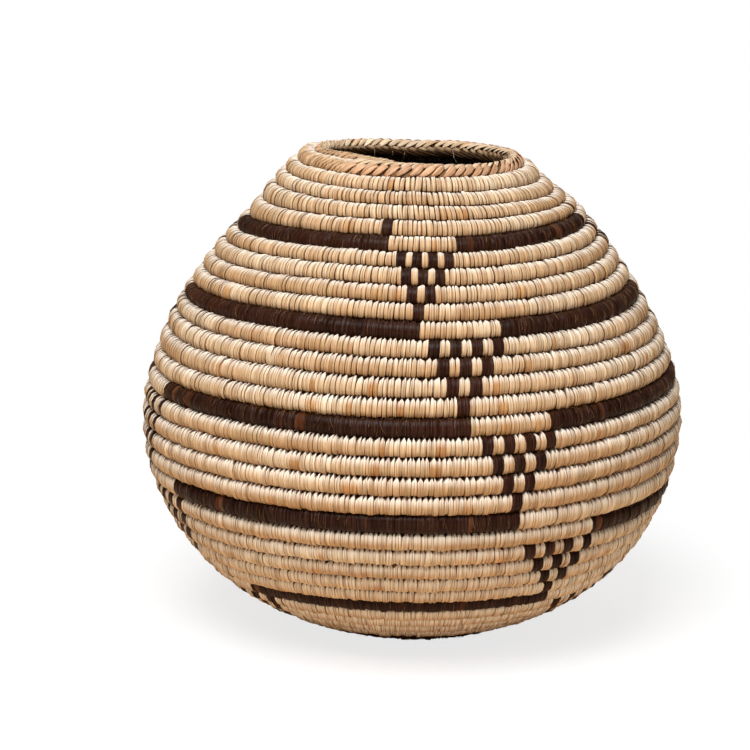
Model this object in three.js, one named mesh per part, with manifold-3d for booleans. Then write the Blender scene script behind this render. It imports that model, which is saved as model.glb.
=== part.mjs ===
// Coiled palm basket. One bundle of grass, bound with palm-leaf strips, is wound as a single
// climbing spiral from a flat foot to a narrow mouth. Natural strips bind most of it, dyed
// strips bind six broken bands, and a herringbone braid covers the last turn at the rim.
// Millimetres, +Z up, foot on Z = 0, axis through the origin, front on the -Y side.
// Azimuths are degrees from the front, growing to the right; the coil climbs that way.

import * as THREE from 'three';
import Module from 'manifold-3d';
import { mergeVertices } from 'three/addons/utils/BufferGeometryUtils.js';

const wasm = await Module();
wasm.setup();

// Side outline: the coil's centre line in a half plane through the axis.
const BELLY_RADIUS = 144.5;
const BELLY_HEIGHT = 115.6;
const NECK_RADIUS = 63;
const NECK_HEIGHT = 256.5;
const NECK_SLOPE = 47.3;
const MOUTH_RADIUS = 47;
const MOUTH_HEIGHT = 258.3;
const MOUTH_SLOPE = 33;
const FOOT_RADIUS = 30;
const START_RADIUS = 8.5;

// How far each stretch of the outline holds the direction that it has at its end.
const MOUTH_HOLD = 4.8;
const LIP_HOLD = 6.2;
const SHOULDER_HOLD = 17.4;
const UPPER_BELLY_HOLD = 63.5;
const LOWER_BELLY_HOLD = 62.7;
const FOOT_HOLD = 49.8;

// The coil: rows are thinnest at the mouth and thicken slowly towards the foot.
const MOUTH_PITCH = 9.75;
const FOOT_PITCH = 11.4;
const WALL_THICKNESS = 10.4;
const ROW_GAP = 0.5;
const SEAM_GAP = 0.3;
const COIL_END_AZIMUTH = -25;
const TAPER_LENGTH = 62;
const TAPER_TIP = 0.4;

// A tenth of the coil's thickness is worn flat where the basket stands on it.
const FOOT_FLAT = WALL_THICKNESS / 10;

// The rim braid covers the last turn and stands proud of the plain rows.
const BRAID_PROUD = 0.5;
const BRAID_RELIEF = 0.9;
const BRAID_STRAND_WIDTH = 5.7;

// The braid's round head reaches this many degrees below its widest line on either side, over
// this many points, and its seat on the row below is this share of the wall's thickness.
const BRAID_HEAD_DIP = 26;
const BRAID_HEAD_POINTS = 9;
const BRAID_SEAT_SHARE = 0.55;

// The dyed bands, from the mouth down: the row each one has at the front, its break there and
// the right edge of the break on its left. The other two breaks share the back. A dyed turn
// ends one row above its own start: at the front in one band, at the back in the others.
const BANDS = [
  { row: 5, front: [-9.6, 11.8], leftBreakEnd: -87, closesAtFront: false },
  { row: 10, front: [0.6, 20.2], leftBreakEnd: -85.5, closesAtFront: false },
  { row: 15, front: [11.9, 29.4], leftBreakEnd: -65.7, closesAtFront: false },
  { row: 20, front: [22.7, 41.8], leftBreakEnd: -60.4, closesAtFront: true },
  { row: 26, front: [39.1, 65], leftBreakEnd: -48, closesAtFront: false },
  { row: 31, front: [54, 84], leftBreakEnd: -33, closesAtFront: false },
];

// Facets: steps in a turn, where the small turns of the foot drop every other step, columns
// in one strand of the braid, corners of the start knot, small steps of a turn by which the
// spiral's length is summed, and the shortest step that a run keeps.
const STEPS_IN_TURN = 18;
const SMALL_TURN_RADIUS = 36;
const BRAID_COLUMNS = 3;
const KNOT_CORNERS = 16;
const MARCH_STEPS = 240;
const LEAST_STEP = 1.2;

const DEGREE = Math.PI / 180;
const FULL_TURN = 2 * Math.PI;

function palm(color, roughness) {
  return new THREE.MeshStandardMaterial({ color, roughness, metalness: 0 });
}

const NATURAL = palm(0xd9c19a, 0.62);
const DYED = palm(0x33221f, 0.5);
const BRAIDED = palm(0xcba070, 0.6);

// Outline of the coil's centre line, from the mouth over the belly to the start of the coil.
function coilOutline() {
  const footHeight = WALL_THICKNESS / 2 - FOOT_FLAT;
  const neck = new THREE.Vector2(NECK_RADIUS, NECK_HEIGHT);
  const neckWay = new THREE.Vector2(Math.cos(NECK_SLOPE * DEGREE), -Math.sin(NECK_SLOPE * DEGREE));
  const mouthWay = new THREE.Vector2(Math.cos(MOUTH_SLOPE * DEGREE), Math.sin(MOUTH_SLOPE * DEGREE));
  const mouthHandle = new THREE.Vector2(MOUTH_RADIUS, MOUTH_HEIGHT).addScaledVector(mouthWay, MOUTH_HOLD);
  const lipHandle = neck.clone().addScaledVector(neckWay, -LIP_HOLD);
  const shoulderHandle = neck.clone().addScaledVector(neckWay, SHOULDER_HOLD);
  const outline = new THREE.Path();
  outline.moveTo(MOUTH_RADIUS, MOUTH_HEIGHT);
  outline.bezierCurveTo(mouthHandle.x, mouthHandle.y, lipHandle.x, lipHandle.y, neck.x, neck.y);
  outline.bezierCurveTo(shoulderHandle.x, shoulderHandle.y,
    BELLY_RADIUS, BELLY_HEIGHT + UPPER_BELLY_HOLD, BELLY_RADIUS, BELLY_HEIGHT);
  outline.bezierCurveTo(BELLY_RADIUS, BELLY_HEIGHT - LOWER_BELLY_HOLD,
    FOOT_RADIUS + FOOT_HOLD, footHeight, FOOT_RADIUS, footHeight);
  outline.lineTo(START_RADIUS, footHeight);
  return outline;
}

const outline = coilOutline();
const outlineLength = outline.getLength();

// Row pitch at a distance along the outline.
function pitchAt(distance) {
  const share = THREE.MathUtils.clamp(distance / outlineLength, 0, 1);
  return MOUTH_PITCH + (FOOT_PITCH - MOUTH_PITCH) * share * share;
}

// Distance along the outline after each small part of a turn, until the outline is used up.
function marchOutline() {
  const distances = [0];
  let distance = 0;
  while (distance < outlineLength) {
    const half = pitchAt(distance) / (2 * MARCH_STEPS);
    distance += pitchAt(distance + half) / MARCH_STEPS;
    distances.push(distance);
  }
  return distances;
}

const marched = marchOutline();
const lastFull = marched.length - 2;
const lastShare = (outlineLength - marched[lastFull]) / (marched[lastFull + 1] - marched[lastFull]);
const TURNS = (lastFull + lastShare) / MARCH_STEPS;

// Distance along the outline after a number of turns; it runs on evenly past both ends.
function distanceAt(turns) {
  const place = turns * MARCH_STEPS;
  if (place <= 0) return turns * MOUTH_PITCH;
  if (turns >= TURNS) return outlineLength + (turns - TURNS) * pitchAt(outlineLength);
  const index = Math.floor(place);
  return THREE.MathUtils.lerp(marched[index], marched[index + 1], place - index);
}

// Centre of the coil in the half plane, as radius and height.
function centreAt(turns) {
  const distance = distanceAt(turns);
  if (distance >= 0 && distance <= outlineLength) return outline.getPoint(distance / outlineLength);
  const end = distance < 0 ? 0 : 1;
  const way = outline.getTangent(end);
  const beyond = distance < 0 ? distance : distance - outlineLength;
  return outline.getPoint(end).addScaledVector(way, beyond);
}

function azimuthAt(turns) {
  return COIL_END_AZIMUTH * DEGREE - turns * FULL_TURN;
}

// Turns from the coil's end to a place named by its row at the front and its azimuth.
function turnsAt(row, azimuth) {
  return row + 1 + (COIL_END_AZIMUTH - azimuth) / 360;
}

// Turns that a length along the coil takes at a place.
function turnsIn(length, turns) {
  return length / (FULL_TURN * Math.max(centreAt(turns).x, START_RADIUS));
}

// The seam below a turn: the middle between it and the next, the way down and the way out.
function seamBelow(turns) {
  const upper = centreAt(turns);
  const lower = centreAt(turns + 1);
  const down = lower.clone().sub(upper).normalize();
  const out = new THREE.Vector2(-down.y, down.x);
  return { middle: upper.add(lower).multiplyScalar(0.5), down, out };
}

// Shrinks a section towards the row below it, over the coil's tapered end.
function taperAt(turns) {
  const run = turns / turnsIn(TAPER_LENGTH, 0);
  return run >= 1 ? 1 : TAPER_TIP + (1 - TAPER_TIP) * THREE.MathUtils.smoothstep(run, 0, 1);
}

// Section of the coil: a ridge outside, a ridge inside, and flats along both seams.
function coilSection(turns) {
  const centre = centreAt(turns);
  const below = seamBelow(turns);
  const above = seamBelow(turns - 1);
  const out = below.out.clone().add(above.out).normalize();
  const half = WALL_THICKNESS / 2;
  const foot = below.middle.clone().addScaledVector(below.down, -ROW_GAP / 2);
  const head = above.middle.clone().addScaledVector(above.down, ROW_GAP / 2);
  return [
    centre.clone().addScaledVector(out, half),
    head.clone().addScaledVector(above.out, half / 2),
    head.clone().addScaledVector(above.out, -half / 2),
    centre.clone().addScaledVector(out, -half),
    foot.clone().addScaledVector(below.out, -half / 2),
    foot.clone().addScaledVector(below.out, half / 2),
  ];
}

// Section of the braided rim: its seat on the row below, and a round head over it.
function braidSection(turns) {
  const centre = centreAt(turns);
  const below = seamBelow(turns);
  const half = WALL_THICKNESS / 2;
  const seat = below.middle.clone().addScaledVector(below.down, -ROW_GAP / 2);
  const tall = centre.distanceTo(seat) + BRAID_PROUD;
  const wide = half + BRAID_PROUD;
  const seatReach = half * BRAID_SEAT_SHARE;
  const points = [seat.clone().addScaledVector(below.out, seatReach)];
  for (let number = 0; number < BRAID_HEAD_POINTS; number += 1) {
    const share = number / (BRAID_HEAD_POINTS - 1);
    const angle = THREE.MathUtils.lerp(-BRAID_HEAD_DIP, 180 + BRAID_HEAD_DIP, share) * DEGREE;
    const reach = centre.clone().addScaledVector(below.out, wide * Math.cos(angle));
    points.push(reach.addScaledVector(below.down, -tall * Math.sin(angle)));
  }
  points.push(seat.clone().addScaledVector(below.out, -seatReach));
  const taper = taperAt(turns);
  return points.map((point) => point.sub(seat).multiplyScalar(taper).add(seat));
}

// A section's points carried round to their azimuth.
function placeSection(section, turns) {
  const azimuth = azimuthAt(turns);
  return section(turns).map(({ x, y }) => (
    new THREE.Vector3(x * Math.sin(azimuth), -x * Math.cos(azimuth), y)
  ));
}

// The fixed stations of the whole spiral. Neighbouring rows share them, so facets stay parallel.
function spiralStations() {
  const places = [];
  const last = Math.ceil(TURNS * STEPS_IN_TURN);
  for (let step = 0; step <= last; step += 1) {
    const turns = step / STEPS_IN_TURN;
    const small = centreAt(turns).x < SMALL_TURN_RADIUS;
    if (!small || step % 2 === 0 || step === last) places.push(turns);
  }
  return places;
}

const stations = spiralStations();

// A section at any place: on the straight facet between the two stations around it.
function facetSection(section, turns) {
  const next = Math.max(1, stations.findIndex((station) => station >= turns));
  const before = stations[next - 1];
  const share = (turns - before) / (stations[next] - before);
  const from = placeSection(section, before);
  const to = placeSection(section, stations[next]);
  return from.map((point, index) => point.lerp(to[index], share));
}

// The stations of a run, with its own two ends and no step too short to keep.
function runStations(start, end) {
  const least = turnsIn(LEAST_STEP, (start + end) / 2);
  const inner = stations.filter((station) => station > start + least && station < end - least);
  return [start, ...inner, end];
}

// A closed body through rings of equal point counts, with a fan over each end.
function loft(rings) {
  const count = rings[0].length;
  const points = rings.flat();
  const index = [];
  for (let ring = 0; ring + 1 < rings.length; ring += 1) {
    for (let side = 0; side < count; side += 1) {
      const here = ring * count + side;
      const beside = ring * count + ((side + 1) % count);
      index.push(here, beside, here + count, beside, beside + count, here + count);
    }
  }
  const last = (rings.length - 1) * count;
  for (let side = 1; side + 1 < count; side += 1) {
    index.push(0, side + 1, side);
    index.push(last, last + side, last + side + 1);
  }
  const geometry = new THREE.BufferGeometry().setFromPoints(points);
  geometry.setIndex(index);
  return geometry;
}

function toSolid(geometry) {
  const bare = geometry.clone();
  bare.deleteAttribute('normal');
  bare.deleteAttribute('uv');
  const merged = mergeVertices(bare, 1e-5);
  return new wasm.Manifold(new wasm.Mesh({
    numProp: 3,
    vertProperties: new Float32Array(merged.attributes.position.array),
    triVerts: new Uint32Array(merged.index.array),
  }));
}

// Everything of a body that lies below the floor is cut away, which leaves it a flat foot.
function cutFlat(geometry) {
  const reach = 4 * BELLY_RADIUS;
  const below = new THREE.BoxGeometry(reach, reach, WALL_THICKNESS);
  below.translate(0, 0, -WALL_THICKNESS / 2);
  const { vertProperties, triVerts } = toSolid(geometry).subtract(toSolid(below)).getMesh();
  const cut = new THREE.BufferGeometry();
  cut.setAttribute('position', new THREE.BufferAttribute(vertProperties, 3));
  cut.setIndex(new THREE.BufferAttribute(triVerts, 1));
  return cut;
}

function piece(name, geometry, finish) {
  geometry.computeVertexNormals();
  const mesh = new THREE.Mesh(geometry, finish);
  mesh.name = name;
  return mesh;
}

// A stretch of the coil between two places, drawn in at each end to leave the seam's gap.
function coilRun(start, end) {
  const from = start + turnsIn(SEAM_GAP / 2, start);
  const to = end - turnsIn(SEAM_GAP / 2, end);
  return loft(runStations(from, to).map((turns) => facetSection(coilSection, turns)));
}

// The braided last turn. Its strands slant one way outside and the other way inside, and meet
// along a spine on top; each is a low ridge raised off the round section.
function rimBraid(end) {
  const from = turnsIn(ROW_GAP, 0);
  const to = end - turnsIn(SEAM_GAP / 2, end);
  const strands = Math.round((FULL_TURN * centreAt(end / 2).x) / BRAID_STRAND_WIDTH);
  const columns = strands * BRAID_COLUMNS;
  const rings = [];
  for (let column = 0; column <= columns; column += 1) {
    const turns = THREE.MathUtils.lerp(from, to, column / columns);
    const ring = facetSection(braidSection, turns);
    const spine = (ring.length - 1) / 2;
    const middle = ring[0].clone().add(ring[ring.length - 1]).multiplyScalar(0.5);
    const core = middle.lerp(ring[Math.round(spine)], 0.5);
    const raised = ring.map((point, index) => {
      const aside = Math.abs(index - spine);
      if (aside > spine - 2) return point;
      const crest = (column + Math.round(aside)) % BRAID_COLUMNS === 0;
      const lift = crest ? BRAID_RELIEF * taperAt(turns) : 0;
      return point.clone().addScaledVector(point.clone().sub(core).normalize(), lift);
    });
    rings.push(raised);
  }
  return loft(rings);
}

// The tightly sewn start of the coil: a small pad that fills the eye of the first turn.
function startKnot() {
  const room = turnsIn(SEAM_GAP, TURNS);
  const shape = new THREE.Shape();
  for (let corner = 0; corner <= KNOT_CORNERS; corner += 1) {
    const turns = TURNS - 1 + room + ((1 - room) * corner) / KNOT_CORNERS;
    const azimuth = azimuthAt(turns);
    const radius = facetSection(coilSection, turns).reduce(
      (least, point) => Math.min(least, Math.hypot(point.x, point.y)), Infinity) - ROW_GAP;
    const x = radius * Math.sin(azimuth);
    const y = -radius * Math.cos(azimuth);
    if (corner === 0) shape.moveTo(x, y);
    else shape.lineTo(x, y);
  }
  shape.closePath();
  return new THREE.ExtrudeGeometry(shape, { depth: WALL_THICKNESS - 2 * FOOT_FLAT, bevelEnabled: false });
}

// The four breaks of a band, in azimuth order from the left one.
function breaksOf({ front, leftBreakEnd }) {
  const width = front[1] - front[0];
  const left = [leftBreakEnd - width, leftBreakEnd];
  const backRoom = left[0] + 360 - front[1];
  const arc = (backRoom - 2 * width) / 3;
  const first = front[1] + arc;
  const second = first + width + arc;
  return [left, front, [first, first + width], [second, second + width]];
}

// A band's dyed arcs and the light stretches between them, as turns from its upper end down.
function bandStretches(band) {
  const breaks = breaksOf(band);
  const closing = band.closesAtFront ? 1 : breaks.length - 1;
  const ordered = breaks.map((_, step) => {
    const index = (closing + step) % breaks.length;
    const shift = index >= closing ? -360 : 0;
    return breaks[index].map((azimuth) => azimuth + shift);
  });
  const edges = [...ordered.flat().slice(1), breaks[closing][0]];
  return edges.map((azimuth) => turnsAt(band.row, azimuth)).reverse();
}

// The least clear distance between a turn and the one below it, from the upper one's points to
// the edges of the lower one's head.
function leastRowGap() {
  const headEdges = [[0, 1], [1, 2], [2, 3]];
  let least = Infinity;
  stations.filter((turns) => turns > 1 && turns + 1 < TURNS).forEach((turns) => {
    const upper = facetSection(coilSection, turns);
    const lower = facetSection(coilSection, turns + 1);
    headEdges.forEach(([from, to]) => {
      const edge = new THREE.Line3(lower[from], lower[to]);
      upper.forEach((point) => {
        const nearest = edge.closestPointToPoint(point, true, new THREE.Vector3());
        least = Math.min(least, nearest.distanceTo(point));
      });
    });
  });
  return least;
}

function buildBasket() {
  const basket = new THREE.Group();
  basket.add(piece('rim_braid', rimBraid(1), BRAIDED));
  let reached = 1;
  BANDS.forEach((band, number) => {
    const edges = bandStretches(band);
    basket.add(piece(`natural_rows_${number + 1}`, coilRun(reached, edges[0]), NATURAL));
    for (let stretch = 0; stretch + 1 < edges.length; stretch += 1) {
      const dyed = stretch % 2 === 0;
      const order = Math.floor(stretch / 2) + 1;
      const name = `band_${number + 1}_${dyed ? 'dyed_arc' : 'light_break'}_${order}`;
      basket.add(piece(name, coilRun(edges[stretch], edges[stretch + 1]), dyed ? DYED : NATURAL));
    }
    reached = edges[edges.length - 1];
  });
  basket.add(piece('foot_rows', cutFlat(coilRun(reached, TURNS)), NATURAL));
  basket.add(piece('start_knot', cutFlat(startKnot()), NATURAL));
  return basket;
}

const basket = buildBasket();
console.log(`turns ${TURNS.toFixed(2)}, least gap between rows ${leastRowGap().toFixed(2)} mm`);

export default basket;
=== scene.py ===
"""A coiled palm basket, dressed in its palm-leaf strips, with the braid over its rim.

Metres, +Z up, foot on Z = 0, the basket's axis through the origin and its front on the -Y side.
Azimuths are degrees from the front and grow to the right, which is the way the coil climbs.
A place on the coil is given in turns: 0 at its tapered end by the mouth, growing downwards.
A place round the coil's section is an angle: 0 points out of the wall, 90 up along the wall.
"""

import logging
import math
from dataclasses import dataclass, field
from enum import Enum
from functools import cached_property

import bpy
import numpy as np
from mathutils import Matrix, Vector


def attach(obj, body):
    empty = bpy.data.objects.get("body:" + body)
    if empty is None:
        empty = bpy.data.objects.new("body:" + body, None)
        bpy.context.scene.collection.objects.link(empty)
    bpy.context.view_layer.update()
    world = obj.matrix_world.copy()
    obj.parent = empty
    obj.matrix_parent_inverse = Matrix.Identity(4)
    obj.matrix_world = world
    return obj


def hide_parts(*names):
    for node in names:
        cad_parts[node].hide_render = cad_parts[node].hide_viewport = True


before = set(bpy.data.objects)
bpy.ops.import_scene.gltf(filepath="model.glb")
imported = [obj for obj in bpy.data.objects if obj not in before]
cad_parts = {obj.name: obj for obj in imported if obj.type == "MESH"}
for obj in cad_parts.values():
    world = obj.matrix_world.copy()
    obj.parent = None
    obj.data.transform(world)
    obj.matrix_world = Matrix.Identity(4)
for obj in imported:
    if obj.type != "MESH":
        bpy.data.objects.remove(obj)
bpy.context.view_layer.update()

LOG = logging.getLogger("basket")
BODY = "root"
SEED = 20
FULL_TURN = 2 * math.pi
MILLIMETRE = 0.001

Array = np.ndarray
Colour = tuple[float, float, float]
Span = tuple[float, float]


def srgb(code: int) -> Colour:
    """A linear colour from a six-digit screen code.

    Args:
        code: The colour as 0xRRGGBB.

    Returns:
        Linear red, green and blue.
    """
    channels = [(code >> shift & 255) / 255 for shift in (16, 8, 0)]
    return tuple(c / 12.92 if c <= 0.04045 else ((c + 0.055) / 1.055) ** 2.4 for c in channels)


def smooth(low: float, high: float, value: Array) -> Array:
    """Smooth step 3s^2 - 2s^3 from 0 at low to 1 at high; low may be the larger one."""
    share = np.clip((value - low) / (high - low), 0, 1)
    return share * share * (3 - 2 * share)


def unit(vectors: Array) -> Array:
    """Vectors scaled to length 1 along their last axis."""
    return vectors / np.linalg.norm(vectors, axis=-1, keepdims=True)


def aside(ways: Array) -> Array:
    """The way out of the wall for ways down along it: (r, z) turns to (-z, r)."""
    return np.stack([-ways[..., 1], ways[..., 0]], axis=-1)


@dataclass(frozen=True)
class Zone:
    """A zone of the wall that fades in with height and may fade out, in metres off the floor."""

    rise: Span
    fall: Span | None = None

    def share(self, height: Array) -> Array:
        """1 inside the zone and 0 outside it, with smooth steps between."""
        inside = smooth(*self.rise, height)
        return inside if self.fall is None else inside * (1 - smooth(*self.fall, height))


@dataclass(frozen=True)
class Ripple:
    """A wave over the wall: height times sin(around * azimuth + upward * rise + phase)."""

    height: float
    around: int
    upward: float
    phase: float = 0.0

    def at(self, azimuth: Array, rise: Array) -> Array:
        """The wave at some azimuths, where rise is a height as a share of the mouth's."""
        return self.height * np.sin(self.around * azimuth + self.upward * rise + self.phase)


@dataclass(frozen=True)
class Handwork:
    """How the handmade wall departs from an even coil. Lengths are millimetres.

    Ripples move the wall in and out, and up and down. The foot bulges at its sides, most of all
    on the right, and its front and back are raised. So are the rows of the belly, most on the
    right, and those above it, more on the left. On the shoulder the rows swing up the wall on
    the right and down it on the left. The shoulder stands a little to the right and slopes down
    to the right, the mouth more so, and the rim has sunk. All that doesn't lie on the floor is
    raised by the floor gap.
    """

    in_and_out: tuple[Ripple, ...] = (Ripple(0.30, 2, 9), Ripple(0.18, 5, -14, 1.3))
    up_and_down: tuple[Ripple, ...] = (Ripple(0.30, 3, 6, 0.7), Ripple(0.15, 7, -11))
    firm_radii: Span = (0.02, 0.06)
    rippled: Zone = Zone((0.008, 0.04))
    floor: Zone = Zone((0, 0.012))
    floor_gap: float = 0.4
    foot: Zone = Zone((0.002, 0.02), (0.03, 0.09))
    foot_sides: float = 1.6
    foot_right: float = 1.4
    foot_front: float = 0.8
    belly: Zone = Zone((0.085, 0.108), (0.125, 0.145))
    belly_rise: float = 0.4
    belly_right: float = 2.0
    upper_belly: Zone = Zone((0.150, 0.175), (0.215, 0.235))
    upper_rise: float = 1.04
    upper_left: float = 0.26
    swinging: Zone = Zone((0.166, 0.198), (0.229, 0.249))
    swing: float = 4.2
    swing_in: float = 0.6
    shoulder: Zone = Zone((0.15, 0.20))
    shoulder_slope: float = 0.022
    shifted: Zone = Zone((0.15, 0.20), (0.235, 0.256))
    shift: float = 2.0
    mouth: Zone = Zone((0.236, 0.256))
    mouth_slope: float = 0.014
    rim: Zone = Zone((0.240, 0.262))
    rim_sunk: float = 2.3

    def settle(self, points: Array, mouth_height: float) -> Array:
        """Shifts points of an even coil to where the handwork has them.

        Args:
            points: Points in space, in metres.
            mouth_height: Height of the mouth, by which the ripples count their rise.

        Returns:
            The shifted points. None of them goes below the floor.
        """
        x, y, z = points[..., 0], points[..., 1], points[..., 2]
        azimuth, radius = np.arctan2(x, -y), np.hypot(x, y)
        rise, firm = z / mouth_height, smooth(*self.firm_radii, radius)
        swell = firm * sum(ripple.at(azimuth, rise) for ripple in self.in_and_out)
        wave = firm * sum(ripple.at(azimuth, rise) for ripple in self.up_and_down)
        sine = np.sin(azimuth)
        right, side, foot = (1 + sine) / 2, sine**2, self.foot.share(z)
        swing = self.swing * sine**3 * self.swinging.share(z)
        bulge = (self.foot_sides * side + self.foot_right * right**2) * foot * firm
        out = swell + bulge - self.swing_in * swing
        up = wave * self.rippled.share(z) + swing
        up = up + self.floor_gap * self.floor.share(z) - self.rim_sunk * self.rim.share(z)
        up = up + self.foot_front * (1 - side) * foot
        up = up + (self.upper_rise - self.upper_left * sine) * self.upper_belly.share(z)
        up = up + (self.belly_rise + self.belly_right * side * right) * self.belly.share(z)
        slope = self.shoulder_slope * self.shoulder.share(z) + self.mouth_slope * self.mouth.share(z)
        across = self.shift * self.shifted.share(z) * MILLIMETRE
        grown = (radius + out * MILLIMETRE) / np.maximum(radius, MILLIMETRE)
        height = np.maximum(z + up * MILLIMETRE - x * slope, 0)
        return np.stack([x * grown + across, y * grown, height], axis=-1)


@dataclass(frozen=True)
class Coil:
    """The coil: its side outline, its pitch and the shape of its section.

    The outline is the coil's centre line in a half plane through the axis. Each hold is how far
    a stretch of it keeps the direction that it has at its end. The last turn has a course of its
    own: at places in turns, millimetres out and up from the outline and its share of the full
    section, so that its thin end lies over the row below. The joins are where the coil begins
    to have a row above it. The section is a superellipse with the power of its fullness, and
    overlaps the rows beside it. The foot's centre line lies foot_seat of a wall off the floor.
    """

    belly_radius: float = 0.1445
    belly_height: float = 0.1156
    neck_radius: float = 0.063
    neck_height: float = 0.2565
    neck_slope: float = 47.3
    mouth_radius: float = 0.047
    mouth_height: float = 0.2583
    mouth_slope: float = 33.0
    foot_radius: float = 0.030
    start_radius: float = 0.0085
    mouth_hold: float = 0.0048
    lip_hold: float = 0.0062
    shoulder_hold: float = 0.0174
    upper_belly_hold: float = 0.0635
    lower_belly_hold: float = 0.0627
    foot_hold: float = 0.0498
    mouth_pitch: float = 0.00975
    foot_pitch: float = 0.0114
    wall: float = 0.0104
    end_azimuth: float = -25.0
    last_turn: tuple[tuple[float, float, float, float], ...] = (
        (-0.07, 1.0, 5.0, 0.20),
        (-0.02, 1.0, 7.6, 0.34),
        (0.05, 1.6, 7.7, 0.46),
        (0.10, 2.0, 6.3, 0.52),
        (0.18, 3.4, 3.3, 0.62),
        (0.25, 3.0, 3.0, 0.68),
        (0.31, 2.8, 2.3, 0.74),
        (0.43, 2.0, 0.8, 0.84),
        (0.55, 1.4, 1.9, 0.86),
        (0.68, 0.2, 3.4, 0.84),
        (0.80, 1.0, 2.1, 0.90),
        (0.93, 0.8, 1.6, 0.94),
        (1.05, 1.0, 0.2, 1.00),
        (1.18, 2.6, 0.2, 1.00),
        (1.43, 1.0, 0.4, 1.00),
        (1.68, -0.6, 0.9, 1.00),
        (2.00, 0.2, 0.0, 1.00),
        (2.18, 1.0, 0.0, 1.00),
        (2.68, 0.0, 0.0, 1.00),
    )
    joins: Span = (0.90, 1.02)
    fullness: float = 2.12
    overlap: float = 1.05
    braid_lean: float = 0.0045
    braid_side: Span = (1.14, 1.04)
    foot_seat: float = 0.4
    curve_steps: int = 400
    skin_steps: int = 240
    handwork: Handwork = Handwork()

    @cached_property
    def outline(self) -> tuple[Array, Array]:
        """The outline, from the mouth to the coil's start.

        Three cubic curves, (1-u)^3 a + 3(1-u)^2 u b + 3(1-u) u^2 c + u^3 d, run from the mouth
        over the neck and the belly to the foot, and a straight line ends at the coil's start.

        Returns:
            The length along the outline at each of its points, and their radii and heights.
        """
        foot_height = self.wall * self.foot_seat
        neck = np.array([self.neck_radius, self.neck_height])
        mouth = np.array([self.mouth_radius, self.mouth_height])
        slope, lip = math.radians(self.neck_slope), math.radians(self.mouth_slope)
        neck_way = np.array([math.cos(slope), -math.sin(slope)])
        mouth_way = np.array([math.cos(lip), math.sin(lip)])
        belly = np.array([self.belly_radius, self.belly_height])
        foot = np.array([self.foot_radius, foot_height])
        rise = np.array([0, 1.0])
        stretches = [
            (mouth, mouth + mouth_way * self.mouth_hold, neck - neck_way * self.lip_hold, neck),
            (neck, neck + neck_way * self.shoulder_hold, belly + rise * self.upper_belly_hold, belly),
            (belly, belly - rise * self.lower_belly_hold, foot + [self.foot_hold, 0], foot),
        ]
        u = np.linspace(0, 1, self.curve_steps)[:, None]
        curves = [
            (1 - u) ** 3 * a + 3 * (1 - u) ** 2 * u * b + 3 * (1 - u) * u**2 * c + u**3 * d
            for a, b, c, d in stretches
        ]
        start = np.array([[self.start_radius, foot_height]])
        points = np.concatenate([curves[0], curves[1][1:], curves[2][1:], start])
        steps = np.linalg.norm(np.diff(points, axis=0), axis=1)
        return np.concatenate([[0], np.cumsum(steps)]), points

    @cached_property
    def length(self) -> float:
        """Length of the outline."""
        return float(self.outline[0][-1])

    @cached_property
    def turns(self) -> float:
        """Turns of the whole coil.

        The pitch is a + b (s/length)^2 at distance s, so the turns are the integral of ds over
        it: atan(s sqrt(c/a)) / sqrt(a c), with c = b/length^2.
        """
        a, c = self.mouth_pitch, (self.foot_pitch - self.mouth_pitch) / self.length**2
        return math.atan(self.length * math.sqrt(c / a)) / math.sqrt(a * c)

    def distance(self, turns: Array) -> Array:
        """Distance along the outline after some turns: sqrt(a/c) tan(turns sqrt(a c)).

        Args:
            turns: Places along the coil. Past both ends the pitch stays what it is there.

        Returns:
            Distances from the outline's upper end, in metres.
        """
        a, c = self.mouth_pitch, (self.foot_pitch - self.mouth_pitch) / self.length**2
        inside = np.clip(turns, 0, self.turns)
        along = math.sqrt(a / c) * np.tan(inside * math.sqrt(a * c))
        return along + np.minimum(turns, 0) * a + np.maximum(turns - self.turns, 0) * self.foot_pitch

    def centre(self, turns: Array) -> Array:
        """The coil's centre line, which runs on straight past both ends of the outline.

        Args:
            turns: Places along the coil.

        Returns:
            Radius and height of the centre, along the last axis.
        """
        lengths, points = self.outline
        far = self.distance(turns)
        place = np.stack([np.interp(far, lengths, points[:, axis]) for axis in (0, 1)], axis=-1)
        first, last = unit(points[1] - points[0]), unit(points[-1] - points[-2])
        before, after = np.minimum(far, 0), np.maximum(far - self.length, 0)
        return place + before[..., None] * first + after[..., None] * last

    def moved(self, turns: Array) -> Array:
        """How far the last turn is moved from the outline.

        Args:
            turns: Places along the coil.

        Returns:
            Metres out and up, along the last axis.
        """
        table = np.array(self.last_turn)
        out, up = (np.interp(turns, table[:, 0], table[:, column]) for column in (1, 2))
        return MILLIMETRE * np.stack([out, up], axis=-1)

    def azimuth(self, turns: Array) -> Array:
        """Azimuth of a place on the coil, in radians."""
        return math.radians(self.end_azimuth) - FULL_TURN * turns

    def turns_at(self, row: float, azimuth: float) -> float:
        """Turns to a place named by its row at the front and its azimuth in degrees."""
        return row + 1 + (self.end_azimuth - azimuth) / 360

    @cached_property
    def skin_lengths(self) -> tuple[Array, Array]:
        """Lengths along the coil's outer skin, summed over short steps.

        Returns:
            Places in turns, from a turn before the coil to a turn past it, and the length of
            skin from the first of them to each one.
        """
        places = np.arange(-1, self.turns + 1, 1 / self.skin_steps)
        centre = self.centre(places)
        out = unit(aside(self.centre(places + 0.5) - self.centre(places - 0.5)))
        reach = FULL_TURN * np.abs(centre[:, 0] + out[:, 0] * self.wall / 2)
        steps = (reach[1:] + reach[:-1]) / 2 * np.diff(places)
        return places, np.concatenate([[0], np.cumsum(steps)])

    def skin_length(self, turns: Array) -> Array:
        """Length along the outer skin at a place."""
        return np.interp(turns, *self.skin_lengths)

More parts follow.
